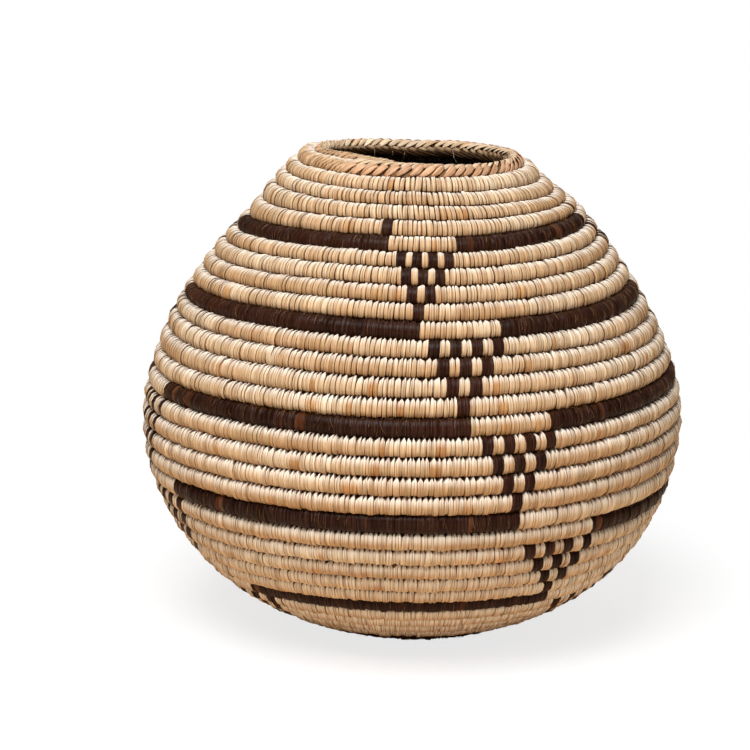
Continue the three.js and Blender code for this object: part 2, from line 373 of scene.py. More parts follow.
    def turns_at_length(self, length: Array) -> Array:
        """Place at a length along the outer skin."""
        places, lengths = self.skin_lengths
        return np.interp(length, lengths, places)

    def turns_in(self, length: float, turns: Array) -> Array:
        """Turns that a length along the centre line takes at a place."""
        return length / (FULL_TURN * np.maximum(self.centre(turns)[..., 0], self.start_radius))

    def taper(self, turns: Array) -> Array:
        """Share of its full section that the coil has near its tapered end."""
        table = np.array(self.last_turn)
        return np.interp(turns, table[:, 0], table[:, 3])

    def skin(self, turns: Array, angle: Array, lift: Array) -> Array:
        """Points of the coil's skin.

        The section is a superellipse: cosine and sine of the angle, each raised to 2/fullness
        with its sign kept, scale the way out of the wall and the way to the seam with the row
        above or below. Near the coil's end the section shrinks towards the row below. Where two
        rows are moved by different lengths, the seam between them is moved by their mean.

        Args:
            turns: Places along the coil.
            angle: Places round the section, in radians.
            lift: How far each point stands off the section's skin, in metres.

        Returns:
            Points in space, with X, Y and Z along the last axis.
        """
        centre, above, below = (self.centre(turns + step) for step in (0, -1, 1))
        head, foot = (above - centre) / 2, (below - centre) / 2
        out_above, out_below = unit(aside(centre - above)), unit(aside(below - centre))
        across = np.sign(np.cos(angle)) * np.abs(np.cos(angle)) ** (2 / self.fullness)
        along = np.sign(np.sin(angle)) * np.abs(np.sin(angle)) ** (2 / self.fullness)
        upper = (along > 0)[..., None]
        share = np.abs(along)[..., None]
        by_seam = np.where(upper, out_above, out_below)
        out = unit(unit(out_above + out_below) * (1 - share) + by_seam * share)
        side = np.where(upper, head, foot)
        place = across[..., None] * self.wall / 2 * out + share * self.overlap * side
        ray = unit(across[..., None] * out + share * unit(side))
        place = place + lift[..., None] * ray
        taper = self.taper(turns)[..., None]
        place = centre + foot + (place - foot) * taper
        here, row_below = self.moved(turns), self.moved(turns + 1)
        row_above = here + (self.moved(turns - 1) - here) * smooth(*self.joins, turns)[..., None]
        place = place + here * (1 - share / 2) + np.where(upper, row_above, row_below) * share / 2
        place = self.turn_round(place, self.azimuth(turns))
        return self.handwork.settle(place, self.mouth_height)

    def turn_round(self, place: Array, azimuth: Array) -> Array:
        """Carries points of the half plane round the axis: X = r sin(azimuth), Y = -r cos."""
        radius = place[..., 0]
        return np.stack([radius * np.sin(azimuth), -radius * np.cos(azimuth), place[..., 1]], axis=-1)

    def lean(self, turns: Array) -> Array:
        """How far the top of a wrap is carried along the coil, in turns, beside the braid."""
        return self.turns_in(self.braid_lean, turns) * smooth(*self.braid_side, turns)


@dataclass(frozen=True)
class Block:
    """The figure of dyed stitches that hangs under a band's break, in degrees."""

    first: float
    step: float
    lean: float
    width: float
    rows: int = 4

    def spans(self, row: int) -> list[Span]:
        """Azimuth spans of the dyed blocks in one of its rows, from its left edge at 0.

        Args:
            row: 1 for the widest row, at the top, to the number of rows for the single block.

        Returns:
            The left and right edge of each block, in degrees past the break's left edge.
        """
        left = self.first + self.lean * (row - 1)
        count = self.rows + 1 - row
        return [(left + self.step * k, left + self.step * k + self.width) for k in range(count)]


@dataclass(frozen=True)
class Band:
    """A dyed band: a turn of dyed strips with four light breaks in it.

    Two breaks are given, the one at the front and the right edge of the one on its left. The
    other two share the back. The dyed turn ends one row above its own start, at the front break
    or at the last one round the back.
    """

    number: int
    row: int
    front: Span
    left_break_end: float
    figure: Block | None
    closes_at_front: bool = False

    @property
    def breaks(self) -> list[Span]:
        """The four breaks in azimuth order, from the left one.

        All are as wide as the front one. Three equal arcs and two breaks lead from the front
        break round the back to the left one.

        Returns:
            The left and the right edge of each break, in degrees.
        """
        width = self.front[1] - self.front[0]
        left = (self.left_break_end - width, self.left_break_end)
        arc = (left[0] + 360 - self.front[1] - 2 * width) / 3
        first = self.front[1] + arc
        second = first + width + arc
        return [left, self.front, (first, first + width), (second, second + width)]

    @property
    def closing(self) -> int:
        """Index of the break where the dyed turn ends above its own start."""
        return 1 if self.closes_at_front else len(self.breaks) - 1

    def edges(self, coil: Coil) -> list[float]:
        """Places where the strips change, from the band's upper end down.

        Args:
            coil: The coil that the band lies on.

        Returns:
            Both ends of every dyed arc, in turns.
        """
        breaks = self.breaks
        azimuths = []
        for step in range(len(breaks)):
            index = (self.closing + step) % len(breaks)
            lap = 360 if index >= self.closing else 0
            azimuths += [azimuth - lap for azimuth in breaks[index]]
        azimuths = azimuths[1:] + [breaks[self.closing][0]]
        return [coil.turns_at(self.row, azimuth) for azimuth in reversed(azimuths)]

    def figures(self, coil: Coil) -> list[Span]:
        """Dyed blocks under every break.

        Args:
            coil: The coil that the band lies on.

        Returns:
            The upper and the lower end of each block, in turns.
        """
        if self.figure is None:
            return []
        spans = []
        for index, (left, _) in enumerate(self.breaks):
            start = left - (360 if index == self.closing else 0)
            for row in range(1, self.figure.rows + 1):
                below = self.row + row
                for near, far in self.figure.spans(row):
                    spans.append((coil.turns_at(below, start + far), coil.turns_at(below, start + near)))
        return spans


BANDS = [
    Band(1, 5, (-9.6, 11.8), -87.0, Block(3.1, 4.70, 1.8, 2.6)),
    Band(2, 10, (0.6, 20.2), -85.5, Block(2.2, 4.98, 2.15, 2.6)),
    Band(3, 15, (11.9, 29.4), -65.7, Block(2.2, 4.60, 2.15, 2.3)),
    Band(4, 20, (22.7, 41.8), -60.4, Block(2.6, 5.00, 3.3, 2.6), True),
    Band(5, 26, (39.1, 65.0), -48.0, Block(5.9, 7.20, 4.6, 3.6)),
    Band(6, 31, (54.0, 84.0), -33.0, None),
]
# A single block over the left edge of the first band's breaks, but for the closing one.
FIRST_APEX = Block(-2.9, 0.0, 0.0, 3.4)


class Strip(Enum):
    """What a stretch of the coil is wrapped in."""

    NATURAL = "natural_palm"
    DYED = "dyed_palm"
    BRAIDED = "braided_palm"


@dataclass(frozen=True)
class Wrap:
    """How the strips of one kind lie on the coil. Lengths are metres, shares are of a strip."""

    width: float
    spread: float
    crown: float
    fold: float
    groove: float
    shoulder: float
    tip: float
    heel: float
    unevenness: float


WRAPS = {
    Strip.NATURAL: Wrap(0.0028, 0.20, 0.00022, 0.00030, 0.0014, 0.870, 0.06, 0.70, 0.00020),
    Strip.DYED: Wrap(0.0024, 0.30, 0.00012, 0.00022, 0.0007, 0.91, 0.40, 0.78, 0.00020),
    Strip.BRAIDED: Wrap(0.0026, 0.30, 0.00025, 0.00020, 0.0009, 0.84, 0.60, 0.60, 0.00030),
}


@dataclass(frozen=True)
class Palette:
    """Colours of palm strips: the common ones, and the odd ones that single wraps have.

    A wrap's place in the list of common colours is the middle, moved by a wave that is slow_wraps
    long, by one step for each strip of about strip_wraps wraps and by a step of its own.
    """

    common: tuple[Colour, ...]
    odd: tuple[Colour, ...]
    odd_share: float
    pair_share: float = 0.5
    middle: float = 0.45
    slow_wraps: int = 61
    slow_size: float = 4.8
    slow_step: float = 0.16
    strip_wraps: int = 14
    strip_step: float = 0.14
    wrap_step: float = 0.08
    unevenness: float = 0.04

    def pick(self, colours: tuple[Colour, ...], places: Array) -> Array:
        """Colours along a list, each mixed from the two nearest ones.

        Args:
            colours: The list.
            places: Places along it, from 0 to 1.

        Returns:
            A linear colour for each place.
        """
        table = np.array(colours)
        at = places * (len(colours) - 1)
        low = np.clip(at.astype(int), 0, len(colours) - 2)
        share = (at - low)[:, None]
        return table[low] * (1 - share) + table[low + 1] * share

    def tint(self, count: int, rng: np.random.Generator) -> Array:
        """Colours of wraps that follow each other. Single wraps, or two together, are odd.

        Args:
            count: How many wraps.
            rng: What the draws come from.

        Returns:
            A linear colour for each wrap.
        """
        steps = rng.normal(0, 1, count)
        draws = rng.normal(0, 1, count + self.slow_wraps - 1)
        slow = np.convolve(draws, np.hanning(self.slow_wraps), "valid") / self.slow_size
        strip = np.cumsum(rng.random(count) < 1 / self.strip_wraps)
        joined = rng.normal(0, 1, strip[-1] + 1)[strip]
        places = self.middle + self.slow_step * slow + self.strip_step * joined + self.wrap_step * steps
        start = rng.random(count) < self.odd_share
        odd = start | (np.roll(start, 1) & (rng.random(count) < self.pair_share))
        odd_colour = self.pick(self.odd, rng.random(count))
        common_colour = self.pick(self.common, np.clip(places, 0, 1))
        colour = np.where(odd[:, None], odd_colour, common_colour)
        return colour * (1 + self.unevenness * rng.normal(0, 1, (count, 1)))


PALETTES = {
    Strip.NATURAL: Palette(
        (srgb(0xEDD5B5), srgb(0xE4C6A0), srgb(0xDAB78F), srgb(0xCFA87E), srgb(0xC9AC81)),
        (srgb(0xD6AC7C), srgb(0xCF9E6A), srgb(0xBF8A5A)),
        0.020,
    ),
    Strip.DYED: Palette(
        (srgb(0x190804), srgb(0x210D08), srgb(0x2A120B), srgb(0x371B12)),
        (srgb(0x3A1C0E), srgb(0x4C2816), srgb(0x683E24)),
        0.014,
    ),
    # Darker browns for the core under the braid, standing for painted shade between the strands.
    Strip.BRAIDED: Palette(
        (srgb(0x80603F), srgb(0x6E5034), srgb(0x8C6A48)),
        (srgb(0x4C321E), srgb(0x8A6440)),
        0.1,
    ),
}


@dataclass
class Stitches:
    """Every wrap of one run of the coil: its two edges in turns, its kind and its colour."""

    edges: Array
    dyed: Array
    colour: Array

    @property
    def count(self) -> int:
        """Number of wraps."""
        return len(self.dyed)

    def part(self, first: int, last: int) -> "Stitches":
        """The wraps from the first up to the last, which isn't in it."""
        return Stitches(self.edges[first : last + 1], self.dyed[first:last], self.colour[first:last])


@dataclass
class Mesher:
    """Puts computed grids of points into Blender as closed meshes.

    The seeds of strips that follow each other lie seed_step apart, so that they spread evenly.
    """

    around_margin: float = 0.03
    seed_step: float = 0.618034

    def tubes(self, name: str, points: Array, block_columns: int = 0) -> bpy.types.Object:
        """Closed tubes from grids of points, with a flat cap at each end.

        Column i of a tube and its neighbour i + 1 make a ring of four-sided faces, and the last
        point of a column joins its first. The map for baking lays a tube out in rows of columns.

        Args:
            name: Name of the piece.
            points: Grids of points: tubes by columns by places round the section by 3.
            block_columns: Columns in one row of the baking map, or 0 for no map.

        Returns:
            The new object, smooth shaded.
        """
        tubes, columns, around = points.shape[:3]
        i, j = np.meshgrid(np.arange(columns - 1), np.arange(around), indexing="ij")
        after = (j + 1) % around
        near, far = i * around, (i + 1) * around
        quads = np.stack([near + j, near + after, far + after, far + j], -1)
        first = np.arange(around)[::-1]
        last = (columns - 1) * around + np.arange(around)
        loops = np.concatenate([quads.reshape(-1), first, last])
        starts = np.concatenate([np.arange(i.size) * 4, [i.size * 4, i.size * 4 + around]])
        number = np.arange(tubes)[:, None]
        all_loops = (loops + number * columns * around).ravel()
        all_starts = (starts + number * len(loops)).ravel()
        mesh = bpy.data.meshes.new(name)
        mesh.vertices.add(points.size // 3)
        mesh.vertices.foreach_set("co", points.astype(np.float32).ravel())
        mesh.loops.add(len(all_loops))
        mesh.loops.foreach_set("vertex_index", all_loops.astype(np.int32))
        mesh.polygons.add(len(all_starts))
        mesh.polygons.foreach_set("loop_start", all_starts.astype(np.int32))
        mesh.update(calc_edges=True)
        mesh.polygons.foreach_set("use_smooth", np.ones(len(all_starts), bool))
        if block_columns:
            layer = mesh.uv_layers.new(name="OFBake")
            layer.data.foreach_set("uv", self.unrolled(i, j, columns, around, block_columns).ravel())
        piece = bpy.data.objects.new(name, mesh)
        bpy.context.scene.collection.objects.link(piece)
        return piece

    def unrolled(self, i: Array, j: Array, columns: int, around: int, block_columns: int) -> Array:
        """Places of a tube's face corners in the baking map.

        The tube is cut into rows of block_columns columns. Each row fills the map's width and
        an equal share of its height, less a margin above and below.

        Args:
            i: Column of each side face.
            j: Place of each side face round the section.
            columns: Columns of the tube.
            around: Points in a column.
            block_columns: Columns in one row of the map.

        Returns:
            Places from 0 to 1 for the corners of the side faces and then of both caps.
        """
        rows = math.ceil((columns - 1) / block_columns)
        left = (i % block_columns) / block_columns
        right = left + 1 / block_columns
        step = (1 - 2 * self.around_margin) / around
        share = self.around_margin + step * np.stack([j, j + 1, j + 1, j], -1)
        u = np.stack([left, left, right, right], -1)
        v = ((i // block_columns)[..., None] + share) / rows
        corners = np.stack([u, v], -1).reshape(-1, 2)
        return np.concatenate([corners, np.zeros((2 * around, 2))]).astype(np.float32)

    def paint(
        self, piece: bpy.types.Object, weave: Array, owner: Array, colour: Array, dyed: Array
    ) -> None:
        """Stores what the material reads: where points lie on their strips, and how those look.

        Args:
            piece: The object to paint.
            weave: For each point, its place along the coil, its place round it and its painted shade.
            owner: For each face, the number of its strip.
            colour: Linear colour of each strip.
            dyed: 1 for each dyed strip and 0 for the others.
        """
        seed = np.modf(np.arange(len(dyed)) * self.seed_step)[0]
        self.write(piece, "weave", weave.reshape(-1, 3), "POINT")
        self.write(piece, "strip_colour", colour[owner], "FACE")
        self.write(piece, "dyed", dyed[owner], "FACE")
        self.write(piece, "seed", seed[owner], "FACE")

    def sharpen(self, piece: bpy.types.Object, around: int, period: int, columns: tuple[int, ...]) -> None:
        """Makes the edges along some of a tube's columns sharp.

        Args:
            piece: The tube.
            around: Points in a column.
            period: How many columns make one wrap.
            columns: Which of them get sharp edges.
        """
        mesh = piece.data
        ends = np.empty(len(mesh.edges) * 2, np.int32)
        mesh.edges.foreach_get("vertices", ends)
        column = ends.reshape(-1, 2) // around
        sharp = (column[:, 0] == column[:, 1]) & np.isin(column[:, 0] % period, columns)
        made = mesh.attributes.new("sharp_edge", "BOOLEAN", "EDGE")
        made.data.foreach_set("value", sharp)

    def write(self, piece: bpy.types.Object, name: str, values: Array, domain: str) -> None:
        """Stores values on a mesh as a named attribute.

        Args:
            piece: The object.
            name: The attribute's name.
            values: One number, or three, for each element.
            domain: POINT or FACE.
        """
        kind, key = ("FLOAT_VECTOR", "vector") if values.ndim == 2 else ("FLOAT", "value")
        made = piece.data.attributes.new(name, kind, domain)
        made.data.foreach_set(key, values.astype(np.float32).ravel())


@dataclass
class Wrapper:
    """Wraps stretches of the coil in strips.

    A pair of turns is where a change along the coil begins and where it is complete: the tips
    grow longer and then calmer, the upper rows grow rounder and their strips stand open, and the
    lower rows close up. Tips begin and end at sines of the angle round the section. Painted shade
    darkens a groove, a fold or a seam by the listed shares, and a seam's painted shade sets in from
    its sine on; the wraps' shoulders take more of it on the basket's left and right sides. The
    girth is the way round the section, which sets how the baking map is divided.
    """

    coil: Coil
    mesher: Mesher
    rng: np.random.Generator
    outer_angles: tuple[float, ...] = (-90, -72, -54, -27, 2, 32, 46, 58, 71, 90)
    inner_angles: tuple[float, ...] = (122, 160, 200, 238)
    outside_cosine: float = -0.01
    columns: int = 6
    sharp_columns: tuple[int, ...] = (1, 5)
    ridge_share: float = 0.55
    girth: float = 0.034
    block_calm: float = 0.4
    tilt_share: float = 0.6
    crown_spread: float = 0.4
    crown_limits: Span = (0.3, 2.0)
    fold_middle: float = 0.7
    fold_spread: float = 0.8
    fold_limits: Span = (0.0, 2.0)
    tip_groove: float = 0.9
    heel_groove: float = 0.5
    seam_sine: float = 0.999
    round_turns: Span = (5.0, 1.5)
    top_roundness: float = 1.0
    tip_starts: Span = (0.80, 0.50)
    tip_ends: Span = (1.06, 0.90)
    tip_turns: Span = (4.0, 11.0)
    tip_spread: float = 0.35
    tip_limits: Span = (0.08, 0.8)
    tip_lean: float = 0.30
    calm: float = 0.8
    calm_turns: Span = (18.0, 22.0)
    heel_start: float = 0.68
    heel_powers: Span = (2.0, 6.0)
    heel_spread: float = 0.15
    heel_limits: Span = (0.3, 0.9)
    open_turns: Span = (12.0, 2.0)
    open_gap: float = 0.115
    close_turns: Span = (14.5, 18.5)
    close_gap: float = 0.06
    end_turns: Span = (1.50, 1.15)
    end_slant: float = 0.7
    slant: float = 0.08
    slant_spread: float = 0.14
    # Painted shade, by column: groove, shoulder, ridge, fold, ridge, shoulder.
    creases: tuple[float, ...] = (1.0, 0.55, 0.0, 1.0, 0.0, 0.55)
    groove_creases: Span = (0.68, 1.0)
    fold_creases: Span = (0.25, 0.70)
    # Painted shade added to the wraps' shoulders, most on the basket's left and right sides.
    side_shade: float = 0.09
    close_crease: float = 0.14
    top_seam: float = 0.945
    open_top_seam: float = 0.065
    low_seam: float = 0.80
    open_low_seam: float = 0.17
    close_low_seam: float = 0.12

    def divide(self, start: float, end: float, kind: Strip, blocks: list[Span]) -> Stitches:
        """Divides a stretch of the coil into single wraps.

        The stretch is cut at the dyed blocks, and each part takes as many wraps as fit at the
        mean width. Their widths are drawn from a log-normal spread and scaled to fill the part.

        Args:
            start: Upper end, in turns.
            end: Lower end, in turns.
            kind: What the stretch is wrapped in.
            blocks: Spans in turns that are wrapped in dyed strips instead.

        Returns:
            The wraps from the upper end down.
        """
        inside = sorted(span for span in blocks if start < span[0] and span[1] < end)
        cuts = [start, *(place for span in inside for place in span), end]
        edges, dyed = [np.array([start])], []
        for number, (near, far) in enumerate(zip(cuts[:-1], cuts[1:], strict=True)):
            lengths = self.coil.skin_length(np.array([near, far]))
            is_block = number % 2 == 1
            wrap = WRAPS[Strip.DYED if is_block else kind]
            count = max(1 + is_block, round((lengths[1] - lengths[0]) / wrap.width))
            spread = wrap.spread * (self.block_calm if is_block else 1)
            widths = self.rng.lognormal(0, spread, count)
            share = np.cumsum(widths) / widths.sum()
            edges.append(self.coil.turns_at_length(lengths[0] + share * (lengths[1] - lengths[0])))
            dyed.append(np.full(count, is_block or kind is Strip.DYED))
        dyed = np.concatenate(dyed)
        return Stitches(np.concatenate(edges), dyed, self.tint(dyed, kind))

    def tint(self, dyed: Array, kind: Strip) -> Array:
        """Colours of the wraps of a stretch, from whether each is dyed and its kind."""
        plain = PALETTES[Strip.NATURAL if kind is Strip.DYED else kind].tint(len(dyed), self.rng)
        return np.where(dyed[:, None], PALETTES[Strip.DYED].tint(len(dyed), self.rng), plain)

    def sized(self, stitches: Stitches, plain: Wrap, name: str) -> Array:
        """One size of every wrap, by name: the dyed strips' own or that of the plain ones."""
        return np.where(stitches.dyed[:, None], getattr(WRAPS[Strip.DYED], name), getattr(plain, name))

    def lifts(self, stitches: Stitches, plain: Wrap, upper: Array, lower: Array, rise: Array) -> Array:
        """Heights of a wrap's six columns over the section: groove, shoulder, ridge and so on.

        The two ridges stand a crown's height over the shoulders, with a fold between them. The
        groove is deepest towards both ends of the strip. Whole strips sit a little high or low
        and tilt.

        Args:
            stitches: The wraps.
            plain: How their undyed strips lie.
            upper: Share of the way into the tip, for each wrap and place round the section.
            lower: Share of the way into the heel there.
            rise: Sine of the angle there. Grooves end at the seams, so that rows meet closely.

        Returns:
            Heights, wraps by columns by places round the section, in metres.
        """
        noise = self.rng.normal(0, 1, (4, stitches.count, 1))
        uneven = self.sized(stitches, plain, "unevenness") * noise[0]
        tilt = self.sized(stitches, plain, "unevenness") * self.tilt_share * noise[1]
        round_top = 1 + self.top_roundness * smooth(*self.round_turns, stitches.edges[:-1, None])
        crown = np.clip(1 + self.crown_spread * noise[2], *self.crown_limits) * round_top
        crown = crown * self.sized(stitches, plain, "crown")
        fold = np.clip(self.fold_middle + self.fold_spread * noise[3], *self.fold_limits)
        fold = fold * self.sized(stitches, plain, "fold")
        open_share = (np.abs(rise) < self.seam_sine) * round_top
        groove = (1 + self.tip_groove * upper + self.heel_groove * lower) * open_share
        groove = groove * self.sized(stitches, plain, "groove")
        between = np.concatenate([groove[:1], np.minimum(groove[1:], groove[:-1])])
        level = np.ones(upper.shape[1])
        ridge = (uneven + crown) * level
        columns = [
            -between,
            (uneven - tilt) * level,
            ridge - tilt * 0.5,
            ridge - fold,
            ridge + tilt * 0.5,
            (uneven + tilt) * level,
        ]
        return np.stack(columns, axis=1)

    def halves(self, stitches: Stitches, plain: Wrap, upper: Array, lower: Array) -> Array:
        """Half widths of the wraps' shoulders, as shares of half a wrap.

        The shoulder's share draws in to the tip's towards the row above and to the heel's
        towards the row below.

        Args:
            stitches: The wraps.
            plain: How their undyed strips lie.
            upper: Share of the way into the tip, for each wrap and place round the section.
            lower: Share of the way into the heel there.

        Returns:
            Half widths, wraps by places round the section.
        """
        noise = self.rng.normal(0, 1, (2, stitches.count, 1))
        tip = self.sized(stitches, plain, "tip") * (1 + self.tip_spread * noise[0])
        heel = self.sized(stitches, plain, "heel") * (1 + self.heel_spread * noise[1])
        tip, heel = np.clip(tip, *self.tip_limits), np.clip(heel, *self.heel_limits)
        starts = stitches.edges[:-1, None]
        gap = self.open_gap * (smooth(*self.open_turns, starts) + smooth(*self.end_turns, starts))
        gap -= self.close_gap * smooth(*self.close_turns, starts)
        half = self.sized(stitches, plain, "shoulder") * (1 - gap) * (1 - upper) + tip * upper
        return half * (1 - lower) + heel * lower

    def ends(self, starts: Array, angles: Array) -> tuple[Array, Array]:
        """How far each place on the outside is into a strip's tip and heel, from 0 to 1.

        The share rises evenly with the sine of the angle into the tip, and into the heel by a
        power of it.

        Args:
            starts: Upper edge of each wrap in turns, as a column.
            angles: Places round the section, in radians.

        Returns:
            Shares for the tip and for the heel, wraps by places round the section.
        """
        rise, outside = np.sin(angles), np.cos(angles) > self.outside_cosine
        wide = smooth(*self.tip_turns, starts) * (1 - self.calm * smooth(*self.calm_turns, starts))
        start, end = (low + (high - low) * wide for low, high in (self.tip_starts, self.tip_ends))
        upper = np.clip((rise - start) / (end - start), 0, 1) * outside
        mild, steep = self.heel_powers
        power = mild + (steep - mild) * smooth(*self.close_turns, starts)
        lower = np.clip((-rise - self.heel_start) / (1 - self.heel_start), 0, 1) ** power * outside
        return upper, lower

    def shades(self, edges: Array, turns: Array, rise: Array) -> Array:
        """Painted shade: how much darker grooves between wraps, folds in them and seams of the rows are
        painted, with more on the shoulders at the basket's left and right sides.

        Args:
            edges: Edges of the wraps, in turns.
            turns: Places along the coil, columns by places round the section.
            rise: Sine of the angle round the section.

        Returns:
            Shares from 0 to 1, columns by places round the section.
        """
        count = len(edges) - 1
        azimuth = self.coil.azimuth((edges[1:] + edges[:-1]) / 2)
        folds = np.tile(self.creases, (count, 1))
        # Painted shade in each groove and fold, lighter on the closed lower rows.
        folds[:, 0] = self.rng.uniform(*self.groove_creases, count)
        folds[:, 0] -= self.close_crease * smooth(*self.close_turns, edges[:-1])
        folds[:, 3] = self.rng.uniform(*self.fold_creases, count)
        # Painted shade on the shoulders, growing towards the basket's left and right sides.
        folds[:, [1, 5]] += self.side_shade * np.sin(azimuth)[:, None] ** 4
        # Painted shade in the seams between rows, wider on the upper rows, narrower on the lower.
        open_share, close_share = (smooth(*span, turns) for span in (self.open_turns, self.close_turns))
        top = self.top_seam - self.open_top_seam * open_share
        low = self.low_seam - self.open_low_seam * open_share + self.close_low_seam * close_share
        shade = np.maximum(np.append(folds.ravel(), 1.0)[:, None], smooth(top, 1.0, rise))
        return np.maximum(shade, smooth(low, 1.0, -rise))

    def wrap(self, name: str, stitches: Stitches, kind: Strip, sink: float = 0.0) -> bpy.types.Object:
        """The strips of a stretch of the coil, as one closed tube.

        A wrap has six columns of points round the coil's section. They lie at -1, -h, -r, 0, r
        and h half widths from its middle, where h is the shoulder and r a share of it.

        Args:
            name: Name of the piece.
            stitches: The wraps.
            kind: What the stretch is wrapped in.
            sink: How far the whole surface lies under the section's skin, in metres.

        Returns:
            The new object, with its colours and places as attributes.
        """
        coil, edges = self.coil, stitches.edges
        angles = np.radians(np.array(self.outer_angles + self.inner_angles))
        rise = np.sin(angles)
        count, around = stitches.count, len(angles)
        upper, lower = self.ends(edges[:-1, None], angles)
        half = self.halves(stitches, WRAPS[kind], upper, lower)
        lift = self.lifts(stitches, WRAPS[kind], upper, lower, rise).reshape(-1, around) - sink
        lift = np.concatenate([lift, lift[-self.columns][None]])
        ridge, middle_line = half * self.ridge_share, np.zeros_like(half)
        across = np.stack([middle_line - 1, -half, -ridge, middle_line, ridge, half], axis=1)
        middle, reach = (edges[1:] + edges[:-1]) / 2, (edges[1:] - edges[:-1]) / 2
        slant = self.slant + self.end_slant * smooth(*self.end_turns, middle)
        slant = (slant + self.slant_spread * self.rng.normal(0, 1, count)) * reach
        slant[0] = slant[-1] = 0
        lean = self.tip_lean * (1 + self.rng.normal(0, 1, count)) * reach
        lean[0] = lean[-1] = 0
        skew = slant[:, None, None] * rise + lean[:, None, None] * upper[:, None]
        turns = middle[:, None, None] + across * reach[:, None, None]
        turns = turns - skew * (np.arange(self.columns) > 0)[:, None]
        turns = np.concatenate([turns.reshape(-1, around), np.full((1, around), edges[-1])])
        turns = turns - coil.lean(turns) * rise
        angle = np.broadcast_to(angles, turns.shape)
        rows = math.ceil(math.sqrt(count * WRAPS[kind].width / self.girth))
        points = coil.skin(turns, angle, lift)
        piece = self.mesher.tubes(name, points[None], math.ceil((len(turns) - 1) / rows))
        round_length = (angle + math.pi / 2) * coil.wall / 2
        # The third number is each point's painted shade in grooves, folds and seams.
        place = np.stack([coil.skin_length(turns), round_length, self.shades(edges, turns, rise)], -1)
        owner = np.append(np.repeat(np.arange(count), self.columns * around), [0, count - 1])
        self.mesher.paint(piece, place, owner, stitches.colour, stitches.dyed.astype(float))
        self.mesher.sharpen(piece, around, self.columns, self.sharp_columns)
        return piece


@dataclass(frozen=True)
class Strands:
    """One set of parallel strands of the rim braid.

    Each strand runs from its low to its high angle round the section, in degrees, and slides
    along the rim by slope for each step round the section. The set is moved along the rim by
    shift strands. A strand's middle stands rise metres over the skin. It is widest at the
    fullest share of its length, and its ends keep the narrow share of that width.
    """

    low: float
    high: float
    slope: float
    width: float
    thickness: float
    shift: float
    rise: float
    fullest: float
    narrow: float
    colour: Colour


BRAID_STRANDS = {
    "rim_under_strands": Strands(-92, -16, 1.40, 0.0024, 0.0004, 0.5, 0.0004, 0.50, 0.40, srgb(0x7C5A3A)),
    "rim_outer_strands": Strands(-68, -4, 1.65, 0.0029, 0.0005, 0.0, 0.0015, 0.60, 0.22, srgb(0xD8AC88)),
    # The top strands' paler cream is partly their own tone, partly painted highlight on the rim's top.
    "rim_top_strands": Strands(-24, 46, 2.20, 0.0027, 0.0005, 0.5, 0.0014, 0.62, 0.62, srgb(0xE2C6A4)),
    "rim_inner_strands": Strands(32, 150, -3.1, 0.0020, 0.0005, 0.0, 0.0008, 0.28, 0.66, srgb(0xC3A480)),
}


